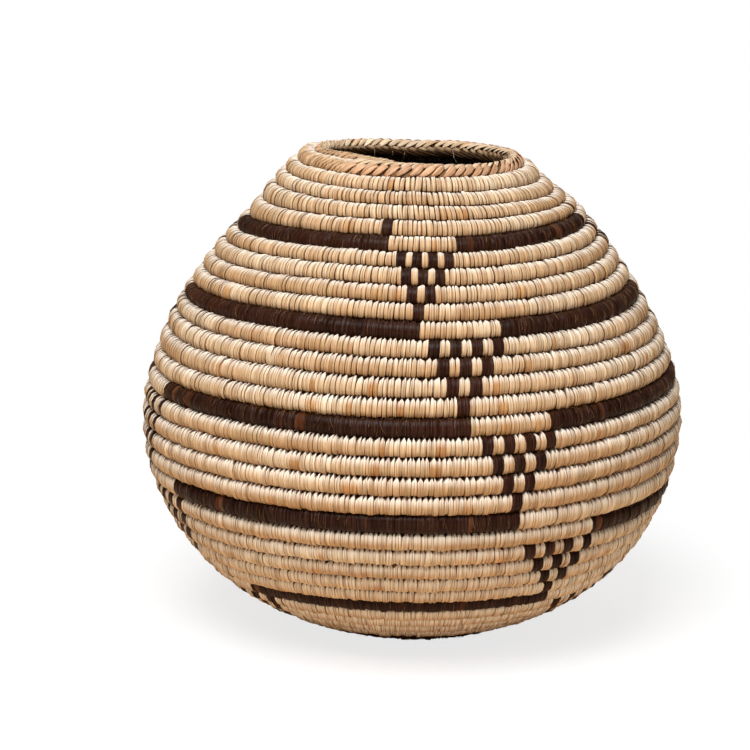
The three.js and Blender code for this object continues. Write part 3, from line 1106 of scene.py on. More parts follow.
@dataclass
class RimBraid:
    """The herringbone braid over the coil's last turn.

    Spreads are how much single strands differ: their places as a share of the spacing, their
    slopes, their angles in degrees, their heights in metres, their widths and their colours.
    The lens is a strand's section, in half widths and thicknesses. Painted shade darkens strands
    over the shade angles towards the inside of the mouth, along their edges and towards their
    ends, where they pass under their neighbours, less at the high end. Strands lose darker shares
    of their colour at the coil's end. The finish colours them as it does a strip at grain_place
    metres round the section.
    """

    wrapper: Wrapper
    pitch: float = 0.0058
    start: float = 1.045
    end: float = -0.055
    core_margin: float = 0.005
    core_sink: float = 0.0001
    taper_power: float = 0.6
    place_steps: int = 4000
    place_spread: float = 0.1
    slope_spread: float = 0.05
    angle_spread: float = 2.0
    height_spread: float = 0.00012
    width_spread: float = 0.1
    tone_spread: float = 0.09
    warmth_spread: Colour = (0.0, 0.015, 0.04)
    steps: int = 10
    end_height: float = 0.3
    end_thickness: float = 0.4
    end_dive: float = 0.0016
    tilt: float = 0.00025
    # Painted shade at strands' ends and edges, where they pass under their neighbours.
    high_end_crease: float = 0.55
    edge_crease: float = 0.66
    edge_start: float = 0.7
    shade: Span = (30.0, 84.0)
    darker: Colour = (0.18, 0.16, 0.22)
    darker_turns: Span = (0.30, 0.10)
    grain_place: float = 0.0068
    lens: tuple[tuple[float, float], ...] = (
        (0, -0.7),
        (1, 0),
        (0.75, 0.8),
        (0.4, 1.0),
        (0.05, 0.72),
        (-0.3, 1.0),
        (-0.72, 0.85),
        (-1, 0),
    )

    def core(self) -> bpy.types.Object:
        """The wrapped coil under the braid, a little sunk so that the strands lie over it.

        Its wraps take the braided palette's darker browns and count as dyed, so that no painted
        highlight lands on them: they stand for painted shade in the gaps between the strands.

        Returns:
            The new object.
        """
        stitches = self.wrapper.divide(self.end - self.core_margin, 1.0, Strip.BRAIDED, [])
        # Counted as dyed so that the undyed strips' coats, the painted highlight among them, skip it.
        stitches.dyed[:] = True
        return self.wrapper.wrap("rim_core", stitches, Strip.BRAIDED, sink=self.core_sink)

    def scale(self, turns: Array) -> Array:
        """Size of the strands at places on the coil, as a share of their full size."""
        return self.wrapper.coil.taper(turns) ** self.taper_power

    def places(self, strands: Strands) -> Array:
        """Places of the strands' middles in turns; they stand closer where the coil tapers.

        The number of strands passed is the integral of dl / (pitch taper), and a strand stands
        wherever it is whole.

        Args:
            strands: The set.

        Returns:
            A place for each strand, from the coil's end down.
        """
        coil, rng = self.wrapper.coil, self.wrapper.rng
        turns = np.linspace(self.end, self.start, self.place_steps)
        steps = np.diff(coil.skin_length(turns)) / (self.pitch * self.scale(turns[1:]))
        passed = np.concatenate([[0], np.cumsum(steps)])
        wanted = np.arange(int(passed[-1] - strands.shift)) + strands.shift
        wanted = wanted + self.place_spread * rng.normal(0, 1, len(wanted))
        return np.interp(wanted, passed, turns)

    def strands(self, name: str, strands: Strands) -> bpy.types.Object:
        """Every strand of one set, as closed flat tubes in one mesh.

        A strand's middle line goes round the section at a steady rate and slides along the rim.
        Its width follows n + (1-n) sin(pi s^p), with p set so that it is fullest where it
        should be, and it dips under its neighbours at both ends. Its section is a folded lens.

        Args:
            name: Name of the piece.
            strands: The set.

        Returns:
            The new object.
        """
        coil, rng = self.wrapper.coil, self.wrapper.rng
        middle = self.places(strands)[:, None]
        count = len(middle)
        noise = rng.normal(0, 1, (4, count, 1))
        share = np.linspace(0, 1, self.steps)
        arch = np.sin(math.pi * share ** (math.log(0.5) / math.log(strands.fullest)))
        degree = coil.wall / 2 * math.radians(1)
        slope = strands.slope * (1 + self.slope_spread * noise[0])
        angles = strands.low + (strands.high - strands.low) * share + self.angle_spread * noise[3]
        scale = self.scale(middle)
        per_metre = coil.turns_in(1.0, middle)
        slide = per_metre * slope * degree * (angles - (strands.low + strands.high) / 2) * scale
        lift = strands.rise * (self.end_height + (1 - self.end_height) * arch)
        lift = lift + self.height_spread * noise[1] - self.end_dive * (1 - arch) ** 4
        full = strands.narrow + (1 - strands.narrow) * arch
        width = strands.width / 2 * full * (1 + self.width_spread * noise[2]) * scale
        norm = np.hypot(1, slope)[..., None]
        lens = np.array(self.lens)
        side, height = lens[:, 0] * width[..., None], lens[:, 1] * strands.thickness
        turns = (middle - slide)[..., None] + per_metre[..., None] * side / norm
        angle = angles[..., None] + slope[..., None] / norm * side / degree / scale[..., None]
        thick = self.end_thickness + (1 - self.end_thickness) * arch
        high = lift[..., None] + height * thick[:, None] + self.tilt * lens[:, 0]
        points = coil.skin(turns, np.radians(angle), high)
        piece = self.wrapper.mesher.tubes(name, points)
        # Painted shade towards both ends, where strands dive under neighbours, less at the high end.
        ends = (1 - arch) ** 2 * np.where(share < 0.5, 1.0, self.high_end_crease)
        # Painted shade along each strand's edges.
        edge = self.edge_crease * smooth(self.edge_start, 1.0, np.abs(lens[:, 0]))
        crease = np.maximum(edge, ends[:, None])
        # Painted shade over the shade angles, inside the mouth.
        crease = np.maximum(crease, smooth(*self.shade, angles)[..., None])
        weave = np.stack(np.broadcast_arrays(side, self.grain_place, crease), -1)
        tone = np.array(strands.colour) * (1 + self.tone_spread * rng.normal(0, 1, (count, 1)))
        tone = tone * (1 - np.array(self.darker) * smooth(*self.darker_turns, middle))
        tone = tone * (1 + rng.normal(0, 1, (count, 1)) * np.array(self.warmth_spread))
        owner = np.repeat(np.arange(count), len(piece.data.polygons) // count)
        self.wrapper.mesher.paint(piece, weave, owner, tone, np.zeros(count))
        return piece


@dataclass
class StartKnot:
    """The sewn pad that fills the eye of the coil's first turn. Lengths are metres.

    Between its stitches the pad is lower by petal_depth, and its edge draws in by a notch share.
    The top falls by a dome share of the height towards the edge, and the bottom rises there by
    foot_curve. The finish's grain goes round on a circle of grain_radius.
    """

    wrapper: Wrapper
    height: float = 0.0078
    overlap: float = 0.0006
    petals: int = 15
    petal_depth: float = 0.0006
    notch: float = 0.06
    dome: float = 0.35
    foot_curve: float = 0.0009
    corners: int = 60
    rings: tuple[float, ...] = (0.12, 0.4, 0.7, 0.9, 1.0)
    grain_radius: float = 0.006

    def build(self) -> bpy.types.Object:
        """A closed pad: rings of points shrink to its middle above and below.

        The radius follows the inside of the coil's last turn. The top is a low dome with a
        ridge for each stitch, and the bottom curves up a little towards its edge.

        Returns:
            The new object.
        """
        coil, mesher = self.wrapper.coil, self.wrapper.mesher
        turns = coil.turns - np.linspace(0, 1, self.corners, endpoint=False)
        radius = coil.centre(turns)[:, 0] - coil.wall / 2 + self.overlap
        azimuth = coil.azimuth(turns)
        ridge = np.abs(np.sin(self.petals / 2 * (azimuth - azimuth[0])))
        shares = np.array(self.rings)
        levels = np.concatenate([shares, shares[::-1]])[:, None]
        top = (np.arange(len(levels)) >= len(shares))[:, None]
        far = levels * radius * (1 - self.notch * (1 - ridge))
        top_height = self.height * (1 - self.dome * levels**2) - self.petal_depth * (1 - ridge) * levels
        height = np.where(top, top_height, self.foot_curve * levels**4)
        points = coil.turn_round(np.stack([far, height], -1), np.broadcast_to(azimuth, far.shape))
        piece = mesher.tubes("start_knot_stitches", points[None])
        # The third number is painted shade in the valleys between the pad's stitches.
        weave = np.stack(np.broadcast_arrays(azimuth * self.grain_radius, far, 1 - ridge), -1)
        colour = np.array([PALETTES[Strip.NATURAL].common[2]])
        mesher.paint(piece, weave, np.zeros(len(piece.data.polygons), int), colour, np.zeros(1))
        return piece


@dataclass(frozen=True)
class Fibres:
    """Fine bits of leaf that stand off the strips. Lengths are metres.

    They lie between two angles round the section, in degrees. One that has a free end rises
    towards it, and the others rise in the middle.
    """

    spacing: float
    shortest: float
    longest: float
    radius: float
    height: float
    angles: Span
    one_end_free: bool
    colours: tuple[Colour, ...]


LOOSE_FIBRES = Fibres(
    0.0042, 0.003, 0.008, 0.00007, 0.0005, (-35, 60), False, (srgb(0xAE8660), srgb(0x80603F))
)
MOUTH_HAIRS = Fibres(
    0.016, 0.012, 0.026, 0.00014, 0.0060, (96, 150), True, (srgb(0xE6D6BE), srgb(0xC4AE90))
)
STRIP_ENDS = Fibres(
    0.016, 0.0010, 0.0024, 0.00016, 0.0009, (-78, -50), True, (srgb(0xD8BA92), srgb(0xB58A60))
)


@dataclass
class Fluff:
    """Loose fibres over the dyed bands and snipped strip ends in the seams.

    A fibre lies along the strips, but for way_spread radians, and is bent by about bend_spread
    of its length. It begins a gap over the skin and is thick_end times its radius thick. No
    fibre follows the tilted direction. The finish colours it as it does a strip at grain_place
    metres round the section.
    """

    wrapper: Wrapper
    steps: int = 7
    sides: int = 3
    way_spread: float = 0.24
    bend_spread: float = 0.10
    gap: float = 0.0003
    height_limits: Span = (0.4, 1.3)
    thick_end: float = 1.15
    tilted: tuple[float, float, float] = (0.3, 0.2, 1.0)
    grain_place: float = 0.0075

    def tufts(self, name: str, fibres: Fibres, spans: list[Span]) -> bpy.types.Object:
        """Fibres scattered over stretches of the coil, as thin closed tubes in one mesh.

        A fibre's middle line is a straight run in a random direction over the skin, bent by a
        parabola, and lifted by h sin(pi s), or by h s where one end is free.

        Args:
            name: Name of the piece.
            fibres: Their sizes and colours.
            spans: Stretches in turns to scatter them over.

        Returns:
            The new object.
        """
        coil, rng = self.wrapper.coil, self.wrapper.rng
        middle = []
        for span in spans:
            ends = coil.skin_length(np.array(span))
            count = max(1, int((ends[1] - ends[0]) / fibres.spacing))
            middle.append(rng.uniform(span[0], span[1], count))
        middle = np.concatenate(middle)[:, None]
        count = len(middle)
        length = rng.uniform(fibres.shortest, fibres.longest, (count, 1))
        way = rng.normal(math.pi / 2, self.way_spread, (count, 1))
        bend = rng.normal(0, self.bend_spread, (count, 1)) * length
        share = np.linspace(0, 1, self.steps)
        run, bow = (share - 0.5) * length, 4 * share * (1 - share) * bend
        along = run * np.cos(way) - bow * np.sin(way)
        around = run * np.sin(way) + bow * np.cos(way)
        base = np.radians(rng.uniform(*fibres.angles, (count, 1)))
        raised = share if fibres.one_end_free else np.sin(math.pi * share)
        lift = self.gap + fibres.height * raised * rng.uniform(*self.height_limits, (count, 1))
        turns = middle + coil.turns_in(1.0, middle) * along
        path = coil.skin(turns, base + around / (coil.wall / 2), lift)
        tangent = unit(np.gradient(path, axis=1))
        side = unit(np.cross(tangent, np.array(self.tilted)))
        other = np.cross(tangent, side)
        turn = FULL_TURN * np.arange(self.sides)[:, None] / self.sides
        ring = side[:, :, None] * np.cos(turn) + other[:, :, None] * np.sin(turn)
        thick = fibres.radius * (self.thick_end - share)[:, None, None]
        points = path[:, :, None] + ring * thick
        piece = self.wrapper.mesher.tubes(name, points)
        weave = np.broadcast_to(np.array([0.0, self.grain_place, 0.0]), points.shape)
        tone = np.array(fibres.colours)[rng.integers(0, len(fibres.colours), count)]
        owner = np.repeat(np.arange(count), len(piece.data.polygons) // count)
        self.wrapper.mesher.paint(piece, weave, owner, tone, np.zeros(count))
        return piece


class Value:
    """A number in a shader, with Python's operators standing for Math nodes."""

    def __init__(self, nodes: "Nodes", socket: bpy.types.NodeSocket) -> None:
        """Keeps the tree that nodes are added to and the socket that gives the number."""
        self.nodes = nodes
        self.socket = socket

    def math(self, operation: str, *others: "Value | float") -> "Value":
        """A Math node on this number and the others."""
        socket = self.nodes.add("ShaderNodeMath", {"operation": operation}, self, *others)
        return Value(self.nodes, socket)

    def __add__(self, other: "Value | float") -> "Value":
        """Sum."""
        return self.math("ADD", other)

    __radd__ = __add__

    def __sub__(self, other: "Value | float") -> "Value":
        """Difference."""
        return self.math("SUBTRACT", other)

    def __rsub__(self, other: float) -> "Value":
        """Difference from a number."""
        return self.math("MULTIPLY", -1.0) + other

    def __mul__(self, other: "Value | float") -> "Value":
        """Product."""
        return self.math("MULTIPLY", other)

    __rmul__ = __mul__

    def step(self, low: float, high: float) -> "Value":
        """Smooth step of this number.

        Args:
            low: Where the step is 0. It may be the larger one.
            high: Where the step is 1.

        Returns:
            The step's value.
        """
        settings = {"interpolation_type": "SMOOTHSTEP"}
        socket = self.nodes.add("ShaderNodeMapRange", settings, self, low, high, 0.0, 1.0)
        return Value(self.nodes, socket)


class Nodes:
    """Adds nodes to a material's or a world's tree."""

    def __init__(self, tree: bpy.types.NodeTree) -> None:
        """Keeps the tree."""
        self.tree = tree

    def plug(self, socket: bpy.types.NodeSocket, value: object) -> None:
        """Links a value's socket to an input, or sets the input to a plain number or colour.

        Args:
            socket: The input.
            value: A value, a socket, a number or a colour; None leaves the input as it is.
        """
        if isinstance(value, Value):
            self.tree.links.new(value.socket, socket)
        elif isinstance(value, bpy.types.NodeSocket):
            self.tree.links.new(value, socket)
        elif value is not None:
            wants = getattr(socket, "default_value", 0)
            if hasattr(wants, "__len__") and len(wants) == 4:
                value = (*value, 1.0)
            socket.default_value = value

    def add(
        self, kind: str, settings: dict[str, object], *values: object, out: int = 0
    ) -> bpy.types.NodeSocket:
        """Adds a node.

        Args:
            kind: Blender's name of the node type.
            settings: The node's own settings, set before its inputs.
            values: Values, sockets, numbers or colours for its enabled inputs, in order.
            out: Which of its enabled outputs is wanted.

        Returns:
            The output socket.
        """
        node = self.tree.nodes.new(kind)
        for name, value in settings.items():
            setattr(node, name, value)
        inputs = [socket for socket in node.inputs if socket.enabled]
        for socket, value in zip(inputs, values, strict=False):
            self.plug(socket, value)
        return [socket for socket in node.outputs if socket.enabled][out]

    def attribute(self, name: str) -> bpy.types.NodeSocket:
        """A vector or colour attribute of the mesh."""
        return self.add("ShaderNodeAttribute", {"attribute_name": name}, out=1)

    def number(self, name: str) -> Value:
        """A number attribute of the mesh."""
        return Value(self, self.add("ShaderNodeAttribute", {"attribute_name": name}, out=2))

    def split(self, vector: bpy.types.NodeSocket) -> tuple[Value, Value, Value]:
        """The three numbers of a vector."""
        kind = "ShaderNodeSeparateXYZ"
        return tuple(Value(self, self.add(kind, {}, vector, out=axis)) for axis in range(3))

    def noise(self, place: tuple[Value, Value, Value], detail: float, roughness: float) -> Value:
        """Noise from 0 to 1 at a place made of three numbers, already scaled."""
        vector = self.add("ShaderNodeCombineXYZ", {}, *place)
        return Value(self, self.add("ShaderNodeTexNoise", {}, vector, 1.0, detail, roughness))

    def mix(self, share: Value | float, low: object, high: object) -> bpy.types.NodeSocket:
        """A mix of two colours."""
        return self.add("ShaderNodeMix", {"data_type": "RGBA"}, share, low, high)

    def scaled(self, colour: bpy.types.NodeSocket, share: Value) -> bpy.types.NodeSocket:
        """A colour made lighter or darker by a number."""
        return self.add("ShaderNodeVectorMath", {"operation": "SCALE"}, colour, share)

    def seen_directly(self) -> Value:
        """The rays that show a surface to the camera.

        Returns:
            1 for rays from the camera and for those that go on through glass, and 0 for others.
        """
        node = self.tree.nodes.new("ShaderNodeLightPath")
        rays = ("Is Camera Ray", "Is Transmission Ray")
        camera, through = (Value(self, node.outputs[name]) for name in rays)
        return camera.math("MAXIMUM", through)


@dataclass(frozen=True)
class Grain:
    """Noise on a strip: how fine it is per metre across the strip and down it, and its start."""

    across: float
    down: float
    start: float
    detail: float = 2.0
    roughness: float = 0.55


@dataclass(frozen=True)
class Coat:
    """A colour laid over another. It sets in over a span of the number that steers it."""

    span: Span
    share: float

    def over(self, steer: Value) -> Value:
        """Share of the coat where the steering number has some value."""
        return steer.step(*self.span) * self.share


@dataclass(frozen=True)
class PalmFinish:
    """Palm-leaf strips: fibres along each strip, painted highlight and shade, and a waxy sheen.

    A painted highlight lightens each undyed row's upper side. Painted shade darkens its lower side,
    its grooves, folds and seams, and the inside of the mouth. The painted highlight, the painted
    shade on the lower side and inside, and the specks are steered by the way round the section, in
    metres from the lower seam, the streaks and veins by noise, and the painted shade in grooves,
    folds and seams by the shares that the meshes carry. The dyed strips' lighter veins also stand
    in for glints, as painted sheen. The tone is the least brightness, and what fibres and blotches
    add to it.
    """

    name: str
    roughness: float
    specular: float
    # Near-white for the painted highlight; brown for real streaks and veins and for painted shade.
    highlight_colour: Colour
    stain_and_shade: Colour
    speck: Colour
    vein_sheen: Colour
    fibre: Grain = Grain(1150.0, 45.0, 0.0, 3.0)
    streak: Grain = Grain(1100.0, 35.0, 9.0)
    blotch: Grain = Grain(160.0, 200.0, 4.0)
    vein: Grain = Grain(900.0, 14.0, 21.0)
    seed_reach: float = 60.0
    tone: tuple[float, float, float] = (0.33, 1.12, 0.24)
    # Painted highlight: each undyed row's upper side lightens towards near-white.
    top_highlight: Coat = Coat((0.0074, 0.0122), 0.86)
    # Painted shade: the lower side of each undyed row darkens towards a brown, where less light falls.
    painted_low_shade: Coat = Coat((0.0070, 0.0015), 0.42)
    streaks: Coat = Coat((0.56, 0.70), 0.42)
    natural_veins: Coat = Coat((0.050, 0.010), 0.55)
    # Lighter lines on dyed strips: fibre lines that also stand in for glints as painted sheen.
    dyed_veins: Coat = Coat((0.050, 0.010), 0.13)
    # Painted shade inside the mouth: the rows' inner faces darken towards a deep brown.
    inside: Coat = Coat((0.0180, 0.0210), 0.86)
    # Painted shade in grooves, folds and seams, by the shares that the meshes carry.
    creases: Coat = Coat((0.48, 0.72), 0.94)
    specked: Span = (0.0110, 0.0150)
    specks: Coat = Coat((0.50, 0.62), 0.7)
    # Share of the staining brown that makes the colour of painted shade.
    dark_share: Colour = (0.23, 0.19, 0.10)
    rough_spread: float = 0.22
    fibre_depth: float = 0.00022
    bump_strength: float = 0.6
    dyed_smoothness: float = 0.10
    dyed_specular: float = 0.10

    def build(self) -> bpy.types.Material:
        """The material. It reads the strips' colours, seeds and places from their meshes.

        Returns:
            The new material.
        """
        material = bpy.data.materials.new(self.name)
        material.use_nodes = True
        nodes = Nodes(material.node_tree)
        surface = material.node_tree.nodes["Principled BSDF"]
        along, around, crease = nodes.split(nodes.attribute("weave"))
        dyed, seed = nodes.number("dyed"), nodes.number("seed")
        natural = 1.0 - dyed
        colour = nodes.attribute("strip_colour")
        fibre, streak, blotch, vein = (
            nodes.noise(
                (along * grain.across, around * grain.down, seed * self.seed_reach + grain.start),
                grain.detail,
                grain.roughness,
            )
            for grain in (self.fibre, self.streak, self.blotch, self.vein)
        )
        off_vein = (vein - 0.5).math("ABSOLUTE")
        spots = blotch * around.step(*self.specked) * dyed
        # The colour of painted shade: the staining brown, dimmed.
        dark = tuple(channel * part for channel, part in zip(self.stain_and_shade, self.dark_share, strict=True))
        coats = (
            # Painted highlight on each undyed row's upper side.
            (self.top_highlight.over(around) * natural, self.highlight_colour),
            # Painted shade on each undyed row's lower side; the streaks and veins below are real staining.
            (self.painted_low_shade.over(around) * natural, self.stain_and_shade),
            (self.streaks.over(streak) * natural, self.stain_and_shade),
            (self.natural_veins.over(off_vein) * natural, self.stain_and_shade),
            # Dyed strips' lighter fibre lines, also standing in for glints as painted sheen.
            (self.dyed_veins.over(off_vein) * dyed, self.vein_sheen),
            # Painted shade on the inner faces of the rows, inside the mouth.
            (self.inside.over(around), dark),
            # Painted shade in grooves, folds and seams.
            (self.creases.over(crease), dark),
            (self.specks.over(spots), self.speck),
        )
        least, by_fibre, by_blotch = self.tone
        colour = nodes.scaled(colour, least + by_fibre * fibre + by_blotch * blotch)
        for share, coat in coats:
            colour = nodes.mix(share, colour, coat)
        rough = self.roughness + self.rough_spread * (fibre - 0.5)
        height = fibre * self.fibre_depth + streak * self.fibre_depth
        bump = nodes.add("ShaderNodeBump", {}, self.bump_strength, 1.0, None, height)
        self.finish(nodes, surface, colour, rough, bump, self.specular)
        dull = material.node_tree.nodes.new("ShaderNodeBsdfPrincipled")
        self.finish(nodes, dull, colour, rough - self.dyed_smoothness, bump, self.dyed_specular)
        both = nodes.add("ShaderNodeMixShader", {}, dyed, surface.outputs[0], dull.outputs[0])
        nodes.plug(material.node_tree.nodes["Material Output"].inputs["Surface"], both)
        return material

    def finish(
        self,
        nodes: Nodes,
        surface: bpy.types.Node,
        colour: bpy.types.NodeSocket,
        rough: Value,
        bump: bpy.types.NodeSocket,
        specular: float,
    ) -> None:
        """Feeds one surface its colour, roughness and relief, and sets how strongly it shines.

        Args:
            nodes: The material's nodes.
            surface: The surface's own node.
            colour: Its colour.
            rough: Its roughness.
            bump: Its relief.
            specular: How strongly it shines.
        """
        nodes.plug(surface.inputs["Base Color"], colour)
        nodes.plug(surface.inputs["Roughness"], rough)
        nodes.plug(surface.inputs["Normal"], bump)
        surface.inputs["Specular IOR Level"].default_value = specular


@dataclass(frozen=True)
class Lamp:
    """A square soft lamp: its place in degrees, its power in watts and its side in metres."""

    name: str
    azimuth: float
    elevation: float
    power: float
    size: float


@dataclass
class Studio:
    """Pale floor, white surroundings, soft lamps and the camera at the photograph's view.

    The target images at target_pixel of a square picture of picture_pixels a side, and a pixel
    there is pixel_size wide. The camera is elevation degrees above the horizon, at distance,
    and turned about its view by roll. The sky is the share of white that lights the basket. To
    the camera the floor keeps its shadow as far as shadow_reach and is plain white from
    floor_fade on, and other rays find it in the tone of floor_bounce.
    """

    target: tuple[float, float, float] = (0.0, 0.0, 0.122)
    target_pixel: tuple[float, float] = (412.3, 404.9)
    picture_pixels: int = 750
    pixel_size: float = 0.00056
    elevation: float = 13.15
    roll: float = 1.01
    distance: float = 1.504
    sensor: float = 36.0
    far_clip: float = 50.0
    lamps: tuple[Lamp, ...] = (
        Lamp("key", -14, 57, 55.0, 1.2),
        Lamp("fill", 58, 20, 1.8, 1.5),
        Lamp("back", 170, 58, 7.0, 1.2),
    )
    lamp_distance: float = 2.2
    sky: float = 0.14
    floor_side: float = 40.0
    floor_lit: float = 0.28
    floor_glow: float = 0.77
    floor_bounce: Colour = (0.88, 0.69, 0.49)
    shadow_reach: float = 0.22
    floor_fade: float = 0.60

    def camera(self) -> None:
        """Makes the scene's camera."""
        data = bpy.data.cameras.new("photo_camera")
        data.sensor_width = self.sensor
        data.lens = self.sensor * self.distance / (self.pixel_size * self.picture_pixels)
        middle = self.picture_pixels / 2
        data.shift_x = (middle - self.target_pixel[0]) / self.picture_pixels
        data.shift_y = (self.target_pixel[1] - middle) / self.picture_pixels
        data.clip_end = self.far_clip
        camera = bpy.data.objects.new("photo_camera", data)
        rise = math.radians(self.elevation)
        away = Vector((0, -math.cos(rise), math.sin(rise))) * self.distance
        look = (-away).to_track_quat("-Z", "Y").to_matrix().to_4x4()
        turn = Matrix.Rotation(math.radians(self.roll), 4, "Z")
        camera.matrix_world = Matrix.Translation(Vector(self.target) + away) @ look @ turn
        bpy.context.scene.collection.objects.link(camera)
        bpy.context.scene.camera = camera

    def light(self, lamp: Lamp) -> None:
        """Puts up one lamp, which faces the target.

        Args:
            lamp: Its place, power and size.
        """
        data = bpy.data.lights.new(lamp.name, "AREA")
        data.energy = lamp.power
        data.size = lamp.size
        side, rise = math.radians(lamp.azimuth), math.radians(lamp.elevation)
        level = math.cos(rise)
        away = Vector((math.sin(side) * level, -math.cos(side) * level, math.sin(rise)))
        made = bpy.data.objects.new(lamp.name, data)
        made.location = Vector(self.target) + away * self.lamp_distance
        made.rotation_euler = (-away).to_track_quat("-Z", "Y").to_euler()
        bpy.context.scene.collection.objects.link(made)

    def surroundings(self) -> None:
        """White to the camera, and a soft even light on the basket."""
        world = bpy.data.worlds.new("surroundings")
        bpy.context.scene.world = world
        world.use_nodes = True
        nodes = Nodes(world.node_tree)
        ground = world.node_tree.nodes["Background"]
        level = nodes.seen_directly() * (1 - self.sky) + self.sky
        nodes.plug(ground.inputs["Strength"], level)
        ground.inputs["Color"].default_value = (1, 1, 1, 1)

    def floor(self) -> None:
        """A wide floor, white to the camera, that keeps the basket's soft shadow."""
        side = self.floor_side / 2
        mesh = bpy.data.meshes.new("floor")
        corners = [(-side, -side, 0), (side, -side, 0), (side, side, 0), (-side, side, 0)]
        mesh.from_pydata(corners, [], [(0, 1, 2, 3)])
        floor = bpy.data.objects.new("floor", mesh)
        bpy.context.scene.collection.objects.link(floor)
        material = bpy.data.materials.new("white_floor")
        material.use_nodes = True
        nodes = Nodes(material.node_tree)
        x, y, _ = nodes.split(nodes.add("ShaderNodeTexCoord", {}, out=3))
        away = (x * x + y * y).math("SQRT").step(self.shadow_reach, self.floor_fade)
        lit = nodes.add("ShaderNodeBsdfDiffuse", {}, (self.floor_lit,) * 3)
        glow = nodes.add("ShaderNodeEmission", {}, (1, 1, 1), self.floor_glow)
        near = nodes.add("ShaderNodeAddShader", {}, lit, glow)
        white = nodes.add("ShaderNodeEmission", {}, (1, 1, 1), 1.0)
        shown = nodes.add("ShaderNodeMixShader", {}, away, near, white)
        plain = nodes.add("ShaderNodeBsdfDiffuse", {}, self.floor_bounce)
        both = nodes.add("ShaderNodeMixShader", {}, nodes.seen_directly(), plain, shown)
        nodes.plug(material.node_tree.nodes["Material Output"].inputs["Surface"], both)
        mesh.materials.append(material)

    def build(self) -> None:
        """Sets up everything that isn't the basket."""
        bpy.context.scene.view_settings.view_transform = "Standard"
        self.camera()
        self.surroundings()
        self.floor()
        for lamp in self.lamps:
            self.light(lamp)


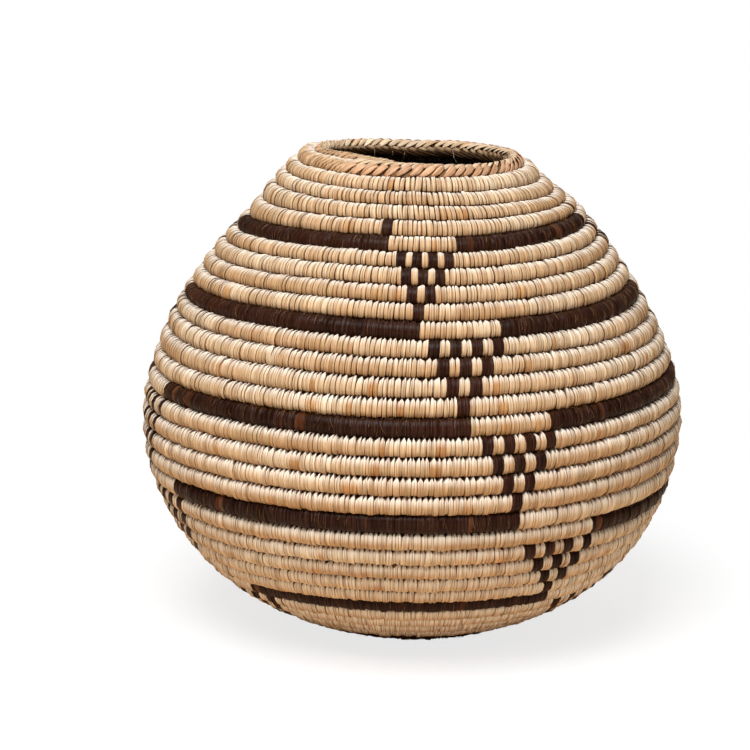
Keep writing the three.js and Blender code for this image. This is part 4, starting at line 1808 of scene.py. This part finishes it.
@dataclass
class Basket:
    """The whole basket: every run of the coil, the braided rim and the start knot.

    A piece has most_wraps wraps at most. Hairs stand along hair_turns of the mouth, and strip
    ends lie in the seams from the place snipped_from down.
    """

    coil: Coil = field(default_factory=Coil)
    mesher: Mesher = field(default_factory=Mesher)
    rng: np.random.Generator = field(default_factory=lambda: np.random.default_rng(SEED))
    most_wraps: int = 1100
    hair_turns: Span = (0.12, 0.66)
    snipped_from: float = 1.2

    @cached_property
    def wrapper(self) -> Wrapper:
        """Wraps runs of this basket's coil."""
        return Wrapper(self.coil, self.mesher, self.rng)

    @cached_property
    def finishes(self) -> dict[Strip, bpy.types.Material]:
        """The materials.

        Returns:
            One for each kind of strip, named as the kind is.
        """
        # Painted highlight; real streaks and painted shade; specks; dyed veins with painted glints.
        highlight_colour, stain_and_shade, speck, vein_sheen = (srgb(code) for code in (0xFDF3E4, 0x916030, 0xA8845C, 0x9A6E5C))
        surfaces = {Strip.NATURAL: (0.52, 0.32), Strip.DYED: (0.50, 0.22), Strip.BRAIDED: (0.50, 0.32)}
        return {
            kind: PalmFinish(kind.value, roughness, specular, highlight_colour, stain_and_shade, speck, vein_sheen).build()
            for kind, (roughness, specular) in surfaces.items()
        }

    @cached_property
    def blocks(self) -> list[Span]:
        """Every dyed block between the bands.

        Returns:
            The upper and the lower end of each block, in turns.
        """
        spans = [span for band in BANDS for span in band.figures(self.coil)]
        top = BANDS[0]
        row = top.row - 1
        for near, far in FIRST_APEX.spans(FIRST_APEX.rows):
            for left, _ in top.breaks[: top.closing]:
                spans.append((self.coil.turns_at(row, left + far), self.coil.turns_at(row, left + near)))
        return spans

    def dress(self, piece: bpy.types.Object, kind: Strip, *nodes: str) -> None:
        """Gives a piece its material, ties it to the body and hides the frame's nodes it replaces.

        Args:
            piece: The piece.
            kind: The kind of strip that it shows.
            nodes: The nodes of the frame that it takes the place of.
        """
        piece.data.materials.append(self.finishes[kind])
        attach(piece, BODY)
        if nodes:
            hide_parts(*nodes)
        LOG.info("%s: %d faces", piece.name, len(piece.data.polygons))

    def run(self, node: str, start: float, end: float, kind: Strip) -> None:
        """One wrapped run of the coil, in place of its node, in pieces of not too many wraps.

        Args:
            node: The run's node in the frame.
            start: Its upper end, in turns.
            end: Its lower end, in turns.
            kind: What it is wrapped in.
        """
        stitches = self.wrapper.divide(start, end, kind, self.blocks if kind is Strip.NATURAL else [])
        parts = math.ceil(stitches.count / self.most_wraps)
        for part in range(parts):
            first, last = (stitches.count * step // parts for step in (part, part + 1))
            name = f"{node}_strips" if parts == 1 else f"{node}_strips_{part + 1}"
            self.dress(self.wrapper.wrap(name, stitches.part(first, last), kind), kind, node)

    def runs(self) -> None:
        """All the runs between the rim braid and the start knot."""
        reached = 1.0
        for band in BANDS:
            edges = band.edges(self.coil)
            self.run(f"natural_rows_{band.number}", reached, edges[0], Strip.NATURAL)
            for step, (start, end) in enumerate(zip(edges[:-1], edges[1:], strict=True)):
                order = step // 2 + 1
                if step % 2:
                    self.run(f"band_{band.number}_light_break_{order}", start, end, Strip.NATURAL)
                else:
                    self.run(f"band_{band.number}_dyed_arc_{order}", start, end, Strip.DYED)
            reached = edges[-1]
        self.run("foot_rows", reached, self.coil.turns, Strip.NATURAL)

    def fluff(self) -> None:
        """Loose fibres on the dyed arcs, hairs at the mouth and strip ends in the wall's seams."""
        fluff = Fluff(self.wrapper)
        arcs = []
        for band in BANDS:
            edges = band.edges(self.coil)
            arcs += zip(edges[::2], edges[1::2], strict=True)
        wall = [(self.snipped_from, BANDS[-1].edges(self.coil)[0])]
        self.dress(fluff.tufts("loose_fibres", LOOSE_FIBRES, arcs), Strip.NATURAL)
        self.dress(fluff.tufts("mouth_hairs", MOUTH_HAIRS, [self.hair_turns]), Strip.NATURAL)
        self.dress(fluff.tufts("strip_ends", STRIP_ENDS, wall), Strip.NATURAL)

    def build(self) -> None:
        """Builds and dresses every piece."""
        self.runs()
        braid = RimBraid(self.wrapper)
        self.dress(braid.core(), Strip.BRAIDED, "rim_braid")
        for name, strands in BRAID_STRANDS.items():
            self.dress(braid.strands(name, strands), Strip.BRAIDED)
        self.dress(StartKnot(self.wrapper).build(), Strip.NATURAL, "start_knot")
        self.fluff()


def main() -> None:
    """Builds the studio and the basket."""
    logging.basicConfig(level=logging.INFO, format="%(message)s")
    Studio().build()
    Basket().build()


if __name__ == "__main__":
    main()
